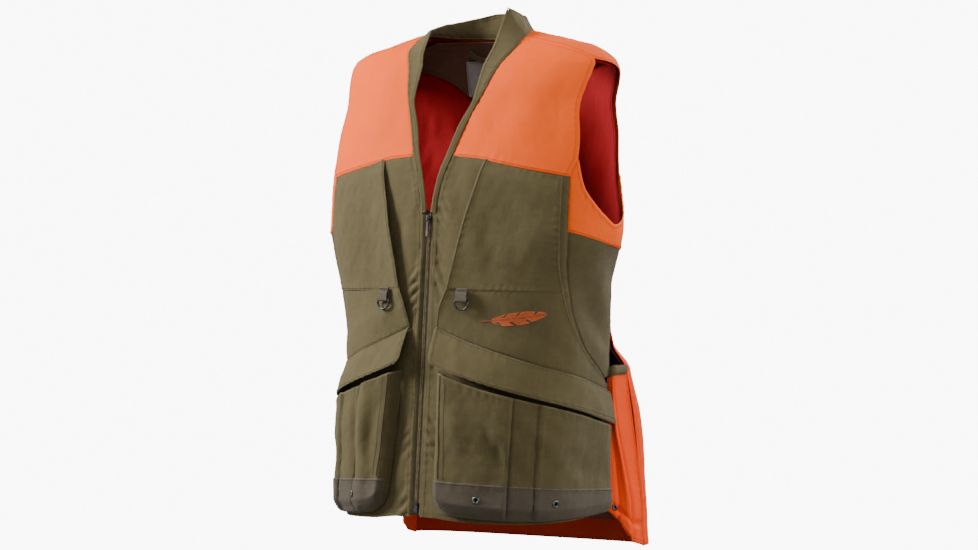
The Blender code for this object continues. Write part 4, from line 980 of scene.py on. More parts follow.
def make_sides():
    start = between(PRINCESS, -0.2830, -0.2060)[0]
    end = between(SIDE_SEAM, -0.3120, -0.2000)[0]
    hem = [start, (91.0, -0.301), end]
    low = [(angle, z - 0.0022) for angle, z in hem]
    left = between(PRINCESS, low[0][1], PRINCESS[-1][1])
    right = between(SIDE_SEAM, low[-1][1], SIDE_SEAM[-1][1])
    band_places = patch(low, ARMHOLE_LOW, left, right, 110, 40)
    left = between(PRINCESS, -0.4960, -0.2830)
    right = between(SIDE_SEAM, -0.4930, -0.3120)
    side_places = patch([left[0], right[0]], hem, left, right, 60, 110)
    for side, tag in SIDES:
        band = Cloth(places_lifted(band_places, 0.0008), side)
        band.drape(0.0010, 0.0004, 9 + side)
        band.edge("top", "fold", 1.0, 0.0005).edge("bottom", "fold", 2.0, 0.0003)
        band.edge("left", "seam", 1.5).edge("right", "seam", 2.5)
        show(band, "underarm_" + tag, YOKE_PLY, ORANGE_CLOTH, ["side_band_" + tag])
        band.sew("orange", "top", FOLD_LINE, YOKE_THREAD)
        band.sew("orange", "bottom", 0.0030, YOKE_THREAD)
        flank = Cloth(places_lifted(side_places, 0.0), side)
        flank.drape(0.0016, 0.0006, 2 + side)
        flank.folds(SIDE_FOLDS, side_places)
        flank.edge("left", "seam", 1.0, 0.0005).edge("right", "fold", 2.0, 0.0004)
        # the side panel takes the darker olive copy: painted shade
        show(flank, "side_" + tag, SHELL, OLIVE_SHADED, ["side_panel_" + tag])
        flank.sew("dark", "left", 0.0035, SHELL_THREAD)
        flank.sew("dark", "right", 0.0035, SHELL_THREAD)


def make_back():
    left = between(SIDE_SEAM, BACK_YOKE_HEM, -0.200)
    hem = across_back(left, BACK_YOKE_HEM)
    left = between(SIDE_SEAM, BAG_SEAM, BACK_YOKE_HEM)
    low = across_back(left, BAG_SEAM)
    panel = Cloth(places_lifted(patch(low, hem, left, both_sides(left), 180, 44), 0.0))
    panel.drape(0.0012, 0.0005, 4).edge("bottom", "seam", 1.0).edge("top", "seam", 2.0)
    show(panel, "back_middle", SHELL, OLIVE_CLOTH, ["back_panel"])
    left = between(SIDE_SEAM, BAG_FLOOR, BAG_SEAM)
    floor = across_back(left, BAG_FLOOR)
    panel = Cloth(places_lifted(patch(floor, low, left, both_sides(left), 150, 120), 0.0))
    panel.drape(0.0012, 0.0005, 6).edge("left", "fold", 1.0).edge("right", "fold", 1.0)
    show(panel, "bag_inner", 0.0010, BAG_LINER_CLOTH, ["bag_inner_panel"])


def make_linings():
    left = [front(0.020, -0.680), front(0.020, -0.300), front(0.0260, -0.235)]
    left += NECK_FRONT[YOKE_CORNER:]
    right = LINING_SIDE + LINING_ARMHOLE + ARMHOLE_FRONT[1:] + SHOULDER_SEAM
    bottom = [left[0], (60.0, -0.688), right[0]]
    places = patch(bottom, [left[-1], right[-1]], left, right, 90, 180)
    for side, tag in SIDES:
        lining = Cloth(places_lifted(places, LINING_LIFT), side)
        lining.drape(0.0010, 0.0006, 1 + side).edge("right", "fold", 1.0, 0.0005)
        # the lining's deep red is partly painted shade
        show(lining, "lining_" + tag, LINING_PLY, RED_LINING_SHADED, ["lining_front_" + tag])
    left = LINING_SIDE + [(101.0, -0.272), (107.5, -0.238), (109.0, -0.200)]
    left += ARMHOLE_BACK + SHOULDER_SEAM
    neck = [left[-1], (90.0, 0.0010), (120.0, -0.0040), (180.0, -0.0080), (240.0, -0.0040),
            (270.0, 0.0010), (287.0, -0.0080)]
    bottom = [left[0], (180.0, -0.690), (260.0, -0.690)]
    places = patch(bottom, neck, left, both_sides(left), 220, 180)
    lining = Cloth(places_lifted(places, LINING_LIFT))
    lining.drape(0.0016, 0.0008, 8)
    lining.folds([(120, -0.10, 150, -0.24, 0.020, -0.003), (135, -0.08, 165, -0.26, 0.018, 0.003),
                  (240, -0.10, 212, -0.26, 0.022, -0.003), (112, -0.16, 130, -0.27, 0.016, 0.0025)],
                 places)
    lining.edge("left", "fold", 1.0, 0.0005).edge("right", "fold", 1.0, 0.0005)
    show(lining, "lining_rear", LINING_PLY, RED_LINING_SHADED, ["lining_back"])
    lining.sew("red", "left", FOLD_LINE, -0.0008)


# ---------------------------------------------------------------- neck
def make_neck():
    columns = 220
    foot = along_curve([front(0.0128, -0.2600)] + NECK_FRONT + [SHOULDER_SEAM[-1]], columns + 1)
    foot = torso(foot[:, 0], foot[:, 1])
    for side, tag in SIDES:
        free = BAND_TOP_FREE if side == 1 else RIGHT_BAND_FREE
        top = [torso(*front(0.0042, -0.2590))] + [torso(*place) for place in BAND_TOP]
        top += [np.array(point) for point in free]
        grid = inset(blend_edges(foot, through(top, columns + 1), 20), 0.0006)
        band = Cloth(grid, side)
        band.raise_by(0.0014 + 0.0003 * ripple(band.base, 0.05, side + 2))
        band.edge("bottom", "fold", 1.0, 0.0003, 0.0030).edge("top", "fold", 2.0, 0.0002, 0.0035)
        show(band, "neck_band_" + tag, 0.0020, TRIM_CLOTH, ["v_band_" + tag])
        band.sew("olive", "bottom", 0.0022, 0.0022)
        band.sew("olive", "top", 0.0028, 0.0022)

    columns = 200
    foot = along_curve(NECK_BACK + both_sides(NECK_BACK[-2::-1]), columns + 1)
    foot = lifted(foot[:, 0], foot[:, 1], -0.0014) - np.array([0.0, 0.0, 0.0035])
    top = [np.array(point) for point in COLLAR_TOP]
    top += [mirrored(np.array(point), -1) for point in reversed(RIGHT_COLLAR_TOP)]
    collar = Cloth(blend_edges(foot, through(top, columns + 1), 26))
    collar.raise_by(0.0008 * ripple(collar.base, 0.07, 3) + 0.0004 * ripple(collar.base, 0.02, 4))
    collar.edge("bottom", "fold", 1.0, 0.0004, 0.0040).edge("top", "fold", 2.0, 0.0002, 0.0040)
    show(collar, "collar", 0.0022, TRIM_CLOTH, ["collar_band"])
    for distance in (0.0030, 0.0062):
        collar.sew("dark", "bottom", distance, -0.0002)
    collar.sew("olive", "top", 0.0040, 0.0024)
    collar.sew("olive", "top", 0.0040, -0.0002)

    bottom = [(104.0, -0.0340), (124.0, -0.0600), (148.0, -0.0980), (180.0, -0.1160),
              (212.0, -0.0980), (236.0, -0.0600), (256.0, -0.0340)]
    top = [(98.0, 0.0010), (180.0, -0.0015), (262.0, 0.0010)]
    left = [bottom[0], (100.5, -0.0180), top[0]]
    right = [bottom[-1], (259.5, -0.0180), top[-1]]
    places = patch(bottom, top, left, right, 130, 60)
    facing = Cloth(places_lifted(places, FACING_LIFT))
    facing.drape(0.0008, 0.0005, 2).edge("bottom", "fold", 1.0, 0.0003)
    show(facing, "facing", 0.0008, BROWN_CLOTH, ["neck_facing"])
    facing.sew("dark", "bottom", 0.0040, -0.0004)

    bottom = [(183.0, -0.0850), (221.0, -0.0850)]
    top = [(178.0, -0.0300), (226.0, -0.0300)]
    places = patch(bottom, top, [bottom[0], top[0]], [bottom[-1], top[-1]], 60, 60)
    label = Cloth(places_lifted(places, LABEL_LIFT))
    label.raise_by(0.0004 * ripple(label.base, 0.03, 1))
    label.edge("left", "fold", 1.0, 0.0001, 0.002).edge("right", "fold", 1.0, 0.0001, 0.002)
    show(label, "label", 0.0006, LABEL_CLOTH, ["size_label"])
    for which in ("left", "right", "bottom", "top"):
        stitch("olive", label.line_inside(which, 0.0018, -0.0003), 0.0026)

    count = 60
    grid = np.zeros((9, count + 1, 3))
    for column, u in enumerate(np.linspace(0.0, 1.0, count + 1)):
        sag = math.sin(math.pi * u)
        for row, width in enumerate(np.linspace(-0.004, 0.004, 9)):
            z = -0.0150 - 0.009 * sag + width
            grid[row, column] = lifted(176.0 + 50.0 * u, z, LABEL_LIFT - 0.0008 - LOOP_BOW * sag)
    show(Cloth(grid), "hanger", 0.0010, TRIM_CLOTH, ["hanger_loop"])


# ---------------------------------------------------------------- overlays
def overlay_lift(columns, rows):
    u = np.linspace(0.0, 1.0, columns + 1)
    gape = OVERLAY_STANDOFF * np.clip(1.0 - u / 0.45, 0.0, 1.0) ** 2
    return OVERLAY_LIFT + np.repeat(gape[None], rows + 1, axis=0)


WAIST = {}


def make_overlays():
    columns, rows = 120, 110
    seam = [OVERLAY_EDGE[2], (45.0, -0.3680), (78.3, -0.3700)]
    top = [front(0.089, -0.1805), (50.0, -0.1885), (73.0, -0.2072)]
    right = [seam[-1]] + between(PRINCESS, -0.3660, -0.2100) + [top[-1]]
    right = [(angle - 2.6, z) for angle, z in right]
    low = [(angle, z - 0.0020) for angle, z in seam[:-1]] + [(right[0][0], seam[-1][1] - 0.002)]
    top = top[:-1] + [right[-1]]
    places = patch(low, top, [low[0], OVERLAY_EDGE[3], top[0]], [low[-1]] + right[1:], columns, rows)
    fade = np.clip((1.0 - np.linspace(0.0, 1.0, rows + 1)) / 0.5, 0.0, 1.0)[:, None]
    chest_lift = OVERLAY_LIFT + (overlay_lift(columns, rows) - OVERLAY_LIFT) * fade + 0.0004
    down = np.clip(np.linspace(1.0, 0.0, rows + 1)[:, None] / 0.13, 0.0, 1.0)
    chest_lift = 0.0008 + (chest_lift - 0.0008) * smooth_step(down)
    chest_places = places

    rows = 90
    low = [(angle, z + 0.0015) for angle, z in FLAP_TOP[:-1]] + [(111.0, -0.5125)]
    right = [low[-1]] + between(PRINCESS, -0.5000, -0.3720) + [seam[-1]]
    right = [(angle - 2.6, z) for angle, z in right]
    low = low[:-1] + [right[0]]
    seam = seam[:-1] + [right[-1]]
    waist_places = patch(low, seam, OVERLAY_EDGE[:3], right, columns + 20, rows)
    fade = np.clip(np.linspace(0.0, 1.0, rows + 1) / 0.5, 0.0, 1.0)[:, None]
    waist_lift = OVERLAY_LIFT + (overlay_lift(columns + 20, rows) - OVERLAY_LIFT) * fade
    for side, tag in SIDES:
        chest = Cloth(places_lifted(chest_places, chest_lift), side)
        chest.drape(0.0018, 0.0007, 10 + side)
        chest.folds(CHEST_FOLDS[side], chest_places)
        chest.edge("left", "fold", 1.0, 0.0004, 0.0040).edge("bottom", "fold", 2.0, 0.0003, 0.0040)
        chest.edge("right", "fold", 3.0, 0.0004, 0.0040).edge("top", "seam", 4.0)
        show(chest, "chest_overlay_" + tag, SHELL, OLIVE_CLOTH, ["chest_pocket_" + tag])
        for which in ("left", "bottom", "right"):
            chest.sew("dark", which, 0.0022, SHELL_THREAD)
        waist = Cloth(places_lifted(waist_places, waist_lift), side)
        waist.drape(0.0014, 0.0006, 12 + side)
        waist.folds(WAIST_FOLDS[side], waist_places)
        waist.edge("left", "fold", 1.0, 0.0004, 0.0040).edge("right", "fold", 2.0, 0.0004, 0.0040)
        waist.edge("top", "seam", 3.0).edge("bottom", "seam", 3.5)
        WAIST[side] = show(waist, "waist_overlay_" + tag, SHELL, OLIVE_CLOTH,
                           ["waist_panel_" + tag])
        for which in ("left", "right"):
            waist.sew("dark", which, 0.0022, SHELL_THREAD)


# ---------------------------------------------------------------- bellows pockets
def swell(u, v):
    inner = np.clip(u / 0.045, 0.0, 1.0)
    outer = np.clip((1.0 - u) / 0.05, 0.0, 1.0)
    low = np.clip(v / 0.10, 0.0, 1.0)
    side = np.interp(u, (0.40, 0.75), (1.0, 0.45))
    return np.sqrt(inner * outer * low) * (1.0 - 0.25 * v) * side


def spread_places(places, u_walls, v_walls):
    """Resample a regular grid of places at uneven columns and rows."""
    u = np.linspace(0.0, 1.0, places.shape[1])
    v = np.linspace(0.0, 1.0, places.shape[0])
    result = np.zeros((len(v_walls), len(u_walls), 2))
    for k in (0, 1):
        wide = np.stack([np.interp(u_walls, u, row) for row in places[..., k]])
        result[..., k] = np.stack([np.interp(v_walls, v, column) for column in wide.T]).T
    return result


def step_up(x, width):
    return 1.0 / (1.0 + np.exp(-np.clip(x / width, -30, 30)))


PLEAT = {1: ((51.0, 55.5), (63.0, 66.5)), -1: ((41.5, 40.5), (54.0, 56.0))}
RIGHT_TWIST = 5.5          # degrees that the right pocket's foot is drawn outwards
KICK_TOP = ((10.0, -0.6360), (17.5, -0.6390), (50.0, -0.6436), (74.5, -0.6487), (112.0, -0.6555))


def eyelet_spot(node, cloth, lift):
    """Centre and outward normal for an eyelet, on the cloth at a CAD node's middle."""
    low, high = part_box(node)
    middle = np.array((low + high) / 2)
    gap = np.linalg.norm(cloth.points - middle, axis=-1)
    row, column = np.unravel_index(gap.argmin(), gap.shape)
    normal = grid_normals(cloth.points, cloth.side)[row, column]
    return cloth.points[row, column] + normal * lift, normal


def clear_of(cloth, spots, radius=0.0034):
    """Mask of the faces that an eyelet's hole doesn't remove."""
    centre = (cloth.points[:-1, :-1] + cloth.points[1:, 1:]) / 2
    keep = np.ones(centre.shape[:2], bool)
    for spot, normal in spots:
        away = centre - spot
        depth = (away * normal).sum(axis=-1)
        flat = np.linalg.norm(away - depth[..., None] * normal, axis=-1)
        keep &= ~((flat < radius) & (np.abs(depth) < 0.01))
    return keep


EYELET_PROFILE = [(0.0025, 0.0004), (0.0027, 0.0010), (0.0033, 0.0013), (0.0044, 0.0012),
                  (0.0054, 0.0006), (0.0056, 0.0000), (0.0052, -0.0004), (0.0034, -0.0004),
                  (0.0031, -0.0030), (0.0025, -0.0030)]


def make_eyelet(name, spot, normal, node):
    across = np.cross((0, 0, 1), normal)
    obj = lathe(name, EYELET_PROFILE, frame_at(spot, across, np.cross(normal, across)),
                EYELET_METAL)
    attach(obj, "vest", node)


def make_pockets():
    rough = patch(POCKET_BOTTOM, POCKET_TOP, POCKET_INNER, [POCKET_BOTTOM[-1], POCKET_TOP[-1]],
                  60, 50)
    u_walls = np.concatenate([np.linspace(0.0, 0.055, 16), np.linspace(0.06, 0.94, 170),
                              np.linspace(0.944, 1.0, 14)])
    v_walls = np.concatenate([np.linspace(0.0, 0.11, 18), np.linspace(0.118, 1.0, 100)])
    places = spread_places(rough, u_walls, v_walls)
    u, v = np.meshgrid(u_walls, v_walls)
    straight = places
    for side, tag in SIDES:
        places = straight.copy()
        if side == -1:
            places[..., 0] += RIGHT_TWIST * (1 - v) ** 1.3 * (1 - u) ** 1.5
        angle = places[..., 0]
        lift = POCKET_RIM_LIFT + POCKET_DEPTH * swell(u, v)
        (low_in, high_in), (low_out, high_out) = PLEAT[side]
        inner = low_in + (high_in - low_in) * v
        outer = low_out + (high_out - low_out) * v
        face = np.clip(np.minimum(u / 0.08, (1 - u) / 0.08), 0, 1) * np.clip(v / 0.05, 0, 1)
        shape = -0.0032 * step_up(angle - inner, 0.16) * step_up(outer - angle, 0.16)
        shape = shape - 0.0018 * bell(angle - inner - 0.7, 0.6)
        shape = shape + 0.0010 * bell(angle - outer - 0.8, 0.9)
        if side == -1:
            shape = shape - 0.0050 * bell(angle - inner, 0.9)
            shape = shape + 0.0035 * bell(angle - inner + 6.0, 4.0)
        # the top fills out until it nearly meets the flap
        full = np.clip((v - 0.40) / 0.35, 0.0, 1.0)
        shape = shape + 0.0046 * smooth_step(full)
        pocket = Cloth(places_lifted(places, lift + shape * face), side)
        pocket.drape(0.0020, 0.0008, 14 + side)
        if side == 1:
            lines = [(25, -0.530, 34, -0.615, 0.014, 0.0030), (33, -0.520, 48, -0.610, 0.016, -0.0030),
                     (44, -0.560, 50, -0.630, 0.010, -0.0050), (49, -0.585, 51, -0.612, 0.007, -0.0040),
                     (68, -0.560, 76, -0.650, 0.016, 0.0020),
                     (90, -0.570, 84, -0.660, 0.016, -0.0018), (22, -0.620, 44, -0.668, 0.012, 0.0018)]
        else:
            lines = [(24, -0.520, 36, -0.640, 0.014, -0.0026), (38, -0.520, 32, -0.650, 0.012, 0.0034),
                     (44, -0.530, 42, -0.640, 0.008, -0.0040), (70, -0.560, 76, -0.650, 0.016, 0.0020)]
        pocket.folds(lines, places)
        pocket.edge("top", "fold", 1.0, 0.0004)
        band = kick_band(pocket, places)
        spots = []
        for spot in ("inner", "outer"):
            spots.append(eyelet_spot("pocket_eyelet_" + spot + "_" + tag, band, 0.0010))
        # the pocket takes the darker olive copy: painted shade
        show(pocket, "pocket_" + tag, SHELL, OLIVE_SHADED, ["bellows_pocket_" + tag],
             keep=clear_of(pocket, spots))
        show(band, "kick_band_" + tag, 0.0009, KICK_CLOTH, ["pocket_kick_band_" + tag],
             keep=clear_of(band, spots))
        for spot, (centre, normal) in zip(("inner", "outer"), spots):
            make_eyelet("eyelet_" + spot + "_" + tag, centre, normal,
                        "pocket_eyelet_" + spot + "_" + tag)
        band.sew("dark", "top", 0.0022, 0.0011)
        # the piped seam down the front of the face
        column = int(np.searchsorted(u_walls, 0.050))
        row = int(np.searchsorted(v_walls, 0.24))
        outer_face = pocket.points + grid_normals(pocket.points, side) * 0.0016
        path = through(outer_face[row:, column][::2], 200)
        # the ridge takes the darker olive copy: painted shade
        ridge = tube("pocket_ridge_" + tag, path, 0.0008, OLIVE_SHADED, 8)
        attach(ridge, "vest")
        inner_column = int(np.searchsorted(u_walls, 0.085))
        inner_row = int(np.searchsorted(v_walls, 0.24))
        normal = grid_normals(pocket.points, side)
        lift_row = pocket.points + normal * 0.0014
        stitch("dark", (lift_row[inner_row:, inner_column], normal[inner_row:, inner_column]))
        for edge_angle in (inner, outer):
            # stitching down both edges of the pleat strip
            spots_line, facing = [], []
            offset = 1.0 if edge_angle is inner else -1.0
            for r in range(8, len(v_walls)):
                where = np.interp(edge_angle[r, 0] + offset, angle[r], np.arange(len(u_walls)))
                c = int(round(where))
                spots_line.append(lift_row[r, c])
                facing.append(normal[r, c])
            stitch("dark", (np.array(spots_line), np.array(facing)))


def kick_band(pocket, places):
    """The band over the pocket's foot, laid on the pocket's own surface."""
    normal = grid_normals(pocket.points, pocket.side)
    lifted_face = pocket.points + normal * 0.0015
    lifted_face = mirrored(lifted_face, pocket.side)
    kick_angle = [a for a, _ in KICK_TOP]
    kick_z = [z for _, z in KICK_TOP]
    rows = 40
    grid = np.zeros((rows + 1, places.shape[1], 3))
    for column in range(places.shape[1]):
        z = places[:, column, 1]
        top = np.interp(places[0, column, 0], kick_angle, kick_z)
        wanted = np.linspace(z[2], top, rows + 1)
        grid[:, column] = resampled(wanted, z, lifted_face[:, column])
    band = Cloth(grid[:, 3:-3], pocket.side)
    return band.edge("top", "fold", 2.0, 0.0002, 0.0030)


# ---------------------------------------------------------------- flaps
FLAP_HUG = 0.0015          # its hem hangs this much closer than the stiff solid's
FLAP_TOP_LIFT = 0.0044     # its top edge lies on the waist panel's hem


def make_flaps():
    columns, rows = 170, 54
    low = FLAP_BOTTOM
    places = patch(low, FLAP_TOP, [low[0], FLAP_TOP[0]], [low[-1], FLAP_TOP[-1]], columns, rows)
    # round the corner at the flap's free front end
    v_grid = np.linspace(1.0, 0.0, rows + 1)[:, None]
    u_grid = np.linspace(0.0, 1.0, columns + 1)[None, :]
    corner = 0.16
    bite = np.clip((v_grid - (1 - corner)) / corner, 0, 1)
    inset_u = 0.035 * (1 - np.sqrt(np.clip(1 - bite ** 2, 0, 1)))
    shifted = inset_u + (1 - inset_u) * u_grid
    for k in (0, 1):
        places[..., k] = np.stack([np.interp(shifted[r], u_grid[0], places[r, :, k])
                                   for r in range(rows + 1)])
    deep = np.interp(places[..., 0], (40.0, 75.0, 112.0), (FLAP_RISE, 0.0125, 0.0090))
    lift = FLAP_TOP_LIFT + (deep + FLAP_LIFT - FLAP_TOP_LIFT - FLAP_HUG) * v_grid ** 0.8
    low_fold = {1: [(26, -0.440, 30, -0.478, 0.010, 0.0014), (40, -0.452, 60, -0.505, 0.016, 0.0020),
                    (64, -0.478, 84, -0.530, 0.018, -0.0018), (88, -0.500, 104, -0.550, 0.014, 0.0018),
                    (48, -0.460, 52, -0.500, 0.008, -0.0010)],
                -1: [(28, -0.440, 38, -0.490, 0.012, -0.0016), (44, -0.455, 58, -0.505, 0.014, 0.0020),
                     (70, -0.480, 86, -0.530, 0.016, -0.0018)]}
    for side, tag in SIDES:
        flap = Cloth(places_lifted(places, lift), side)
        flap.drape(0.0016, 0.0007, 16 + side)
        flap.folds(low_fold[side], places)
        flap.edge("bottom", "fold", 1.0, 0.0004).edge("left", "fold", 2.0, 0.0004)
        flap.edge("right", "fold", 2.0, 0.0004).edge("top", "seam", 3.0, 0.0004)
        blend = {"bodies": ("vest", "flap_" + tag), "start": (side * 0.128, -0.129, -0.475),
                 "end": (side * 0.075, -0.150, -0.450)}
        show(flap, "flap_" + tag, 0.0016, OLIVE_CLOTH,
             ["pocket_flap_front_" + tag, "pocket_flap_side_" + tag],
             blend=blend)
        key = "flap_" + tag
        flap.sew(key, "bottom", FOLD_LINE, 0.0018)
        flap.sew(key, "left", FOLD_LINE, 0.0018)
        flap.sew(key, "top", 0.0035, 0.0018)
        STITCHES[key + "_blend"] = blend


# ---------------------------------------------------------------- game bag
BAG_FOLDS = [(124, -0.520, 140, -0.660, 0.022, 0.0040), (150, -0.480, 160, -0.660, 0.026, -0.0045),
             (186, -0.500, 178, -0.700, 0.028, 0.0045), (214, -0.480, 206, -0.660, 0.026, -0.0045),
             (232, -0.540, 224, -0.680, 0.020, 0.0040)]


def bag_places(wall):
    """Angles and heights of the bag wall's points, seen from its middle."""
    turn = np.degrees(np.arctan2(wall[..., 0], wall[..., 1] + 0.02))
    return np.stack([180 - turn, wall[..., 2]], axis=-1)


def draw_in(wall):
    """Above the side mouths the bag's wall draws in behind the body."""
    share = np.clip((wall[..., 2] - MOUTH - 0.004) / 0.035, 0.0, 1.0)
    wall[..., 0] *= 1.0 - 0.085 * smooth_step(share)


def make_bag():
    wall = refined(bag_wall_points(), 150)
    wide = refined(np.swapaxes(wall, 0, 1), 170)
    wall = inset(np.swapaxes(wide, 0, 1), 0.0008)
    draw_in(wall)
    outer = Cloth(wall)
    outer.raise_by(np.full(wall.shape[:2], 0.0015))
    outer.drape(0.0024, 0.0007, 9)
    outer.folds(BAG_FOLDS, bag_places(wall))
    outer.edge("bottom", "fold", 1.0, 0.0006, 0.0080).edge("left", "fold", 2.0, 0.0004)
    outer.edge("right", "fold", 2.0, 0.0004).edge("top", "fold", 3.0, 0.0004)
    obj = show(outer, "bag_outer", SHELL, BAG_CLOTH, ["bag_outer_panel"])
    # the inside face of the bag cloth takes the darker orange copy: painted shade
    obj.data.materials.append(TAIL_ORANGE_SHADED)
    obj.modifiers["thickness"].material_offset = 1
    for which, distance in (("bottom", 0.008), ("left", FOLD_LINE), ("right", FOLD_LINE),
                            ("top", FOLD_LINE)):
        outer.sew("orange", which, distance, SHELL_THREAD)

    pocket_wall = np.swapaxes(refined(bag_wall_points(), 9)[1:], 0, 1)
    pocket_wall = refined(np.swapaxes(refined(pocket_wall, 120), 0, 1), 100)
    pocket_wall = inset(pocket_wall, 0.004)
    draw_in(pocket_wall)
    liner = Cloth(pocket_wall)
    liner.raise_by(np.full(liner.points.shape[:2], -0.0028)).drape(0.0024, 0.0003, 9)
    liner.folds(BAG_FOLDS, bag_places(pocket_wall))
    show(liner, "bag_lining", LINING_PLY, BAG_LINER_CLOTH, ["bag_liner"])

    angles = np.linspace(116.0, 244.0, 121)
    inner = lifted(angles, np.full(121, BAG_FLOOR + 0.003), 0.0047)
    outer_line = bag_row((0.1950, 0.1080, -0.6880), BAG_BACK_Y["deep"] - 0.006, 120)
    share = np.linspace(0.0, 1.0, 26)[:, None, None]
    floor = Cloth(inset((1 - share) * outer_line[None] + share * inner[None], 0.001))
    floor.drape(0.0010, 0.0006, 5)
    floor.side = -1
    # the floor takes the darker orange copy: painted shade
    show(floor, "bag_base", 0.0008, TAIL_ORANGE_SHADED, ["bag_floor"])

    body_edge = [torso(114.8, z) + torso_normal(114.8, z) * 0.0004
                 for z in (BAG_FLOOR, -0.6000, -0.5300, MOUTH - 0.004)]
    rows = 130
    columns = [through(body_edge, rows), None, through(BAG_FOLD, rows), through(BAG_CORNER, rows)]
    columns[0][0, 2] = -0.6900
    columns[1] = (columns[0] + columns[2]) / 2 + np.array([0.002, 0.0, 0.0])
    columns[1][0, 2] = -0.6990
    coarse = np.stack(columns, axis=1)
    fine = np.swapaxes(refined(np.swapaxes(coarse, 0, 1), 60), 0, 1)
    fine = inset(fine, 0.0006)
    u = np.linspace(0.0, 1.0, fine.shape[1])[None, :]
    v = np.linspace(0.0, 1.0, fine.shape[0])[:, None]
    for side, tag in SIDES:
        gusset = Cloth(fine, side)
        hold = np.clip(np.minimum(u, 1 - u) / 0.12, 0, 1) * np.clip((1 - v) / 0.06 + 0.2, 0, 1)
        # the side folds in along a crease from the mouth's rear to its foot
        crease = 0.66 - 0.10 * v
        arch = np.sin(math.pi * np.clip(v, 0.04, 1)) ** 0.6
        depth = -0.0080 * bell(u - crease, 0.060) * arch
        ridge = 0.0050 * bell(u - crease + 0.17, 0.090) * arch
        second = -0.0040 * bell(u - 0.28 + 0.10 * v, 0.055) * np.clip(1 - v / 0.8, 0, 1)
        low_ruck = -0.0035 * bell(v - 0.075 - 0.05 * u, 0.020) * np.clip(u / 0.2, 0, 1)
        gusset.raise_by((depth + ridge + second + low_ruck) * hold)
        gusset.drape(0.0020, 0.0007, 18 + side)
        gusset.edge("bottom", "fold", 1.0, 0.0004).edge("right", "fold", 2.0, 0.0003, 0.0035)
        gusset.edge("left", "seam", 3.0, 0.0004)
        spot, normal = eyelet_spot("bag_eyelet_" + tag, gusset, 0.0014)
        show(gusset, "bag_side_" + tag, SHELL, BAG_CLOTH, ["bag_gusset_" + tag],
             keep=clear_of(gusset, [(spot, normal)]))
        make_eyelet("eyelet_bag_" + tag, spot, normal, "bag_eyelet_" + tag)
        gusset.sew("orange", "bottom", FOLD_LINE, SHELL_THREAD)
        seam = mirrored(through(BAG_CORNER, 160), side)
        seam = tube("bag_corner_seam_" + tag, seam, 0.0019, BAG_CLOTH, 10)
        attach(seam, "vest")
        gusset.sew("orange", "right", 0.0022, SHELL_THREAD)
        top = gusset.points[-1]
        path = through(mirrored(top, side)[3::4], 120)
        rise = np.linspace(-0.0015, 0.0115, 14)[:, None, None]
        bow = 0.0016 * np.sin(np.linspace(0, math.pi, 14))[:, None]
        strip_grid = path[None] + np.array([0.0, 0.0, 1.0]) * rise
        binding = Cloth(strip_grid, side)
        binding.raise_by(0.0012 + bow + 0.0003 * ripple(binding.base, 0.02, 3))
        binding.edge("bottom", "fold", 1.0, 0.0002, 0.002)
        show(binding, "mouth_binding_" + tag, 0.0018, TRIM_CLOTH, ["bag_binding_" + tag],
             plies=2.0)
        binding.sew("dark", "bottom", 0.0025, 0.0020)


# ---------------------------------------------------------------- zip
ZIP_DOWN = np.array([0.0, -ZIP_SLOPE, -1.0])
ZIP_DOWN /= np.linalg.norm(ZIP_DOWN)
ZIP_OUT = np.array([0.0, -1.0, ZIP_SLOPE])
ZIP_OUT /= np.linalg.norm(ZIP_OUT)
TOOTH_PITCH = 0.0017
SLIDER_Z = V_BOTTOM - 0.0170


def zip_spot(z, lift=0.0, x=0.0):
    return np.array([x, zip_plane_y(z), z]) + ZIP_OUT * lift


def make_zip():
    for side, tag in SIDES:
        rows = 200
        z = np.linspace(-0.6885, V_BOTTOM - 0.004, rows)
        grid = np.stack([np.stack([zip_spot(h, TAPE_LIFT, x) for x in np.linspace(0.0007, 0.0150, 16)])
                         for h in z])
        tape = Cloth(grid, side)
        tape.raise_by(0.0002 * np.sin(tape.along * 2 * math.pi / 0.0022)
                      + 0.0026 * np.clip((tape.along - 0.0028) / 0.0040, 0, 1))
        show(tape, "tape_" + tag, 0.0007, TAPE_CLOTH, ["zip_tape_" + tag])
        # one bent wire of many turns, seen from the front as slanting bars
        start, end = V_BOTTOM - 0.0100, ZIP_END
        count = int((start - end) / TOOTH_PITCH)
        verts, faces = [], []
        ring = [(math.cos(a), math.sin(a)) for a in np.linspace(0, 2 * math.pi, 7)[:-1]]
        shift = 0.0 if side == 1 else TOOTH_PITCH / 2
        for i in range(count):
            z0 = start - i * TOOTH_PITCH - shift
            centres = [(0.0002, 0.0004, 0.0), (0.0012, 0.0009, 0.0),
                       (0.0022, 0.0008, 0.0003), (COIL_OUTER - 0.0004, 0.0000, 0.0005)]
            for k, (x, out, drop) in enumerate(centres):
                middle = zip_spot(z0 - drop, COIL_LIFT + 0.0007 + out, side * x)
                size = 0.00052 if k in (1, 2) else 0.00034
                for c, s in ring:
                    verts.append(middle + ZIP_DOWN * size * c + ZIP_OUT * size * s)
            faces += ring_faces(len(centres), len(ring), at=i * len(centres) * len(ring))
        coil = mesh_object("coil_" + tag, verts, faces, COIL_PLASTIC)
        face_outward(coil)
        attach(coil, "vest", "zip_coil_" + tag)
    for node in ("zip_top_stop_left", "zip_top_stop_right", "zip_box", "zip_slider"):
        bpy.data.objects[node].data.materials.clear()
        bpy.data.objects[node].data.materials.append(DARK_METAL)


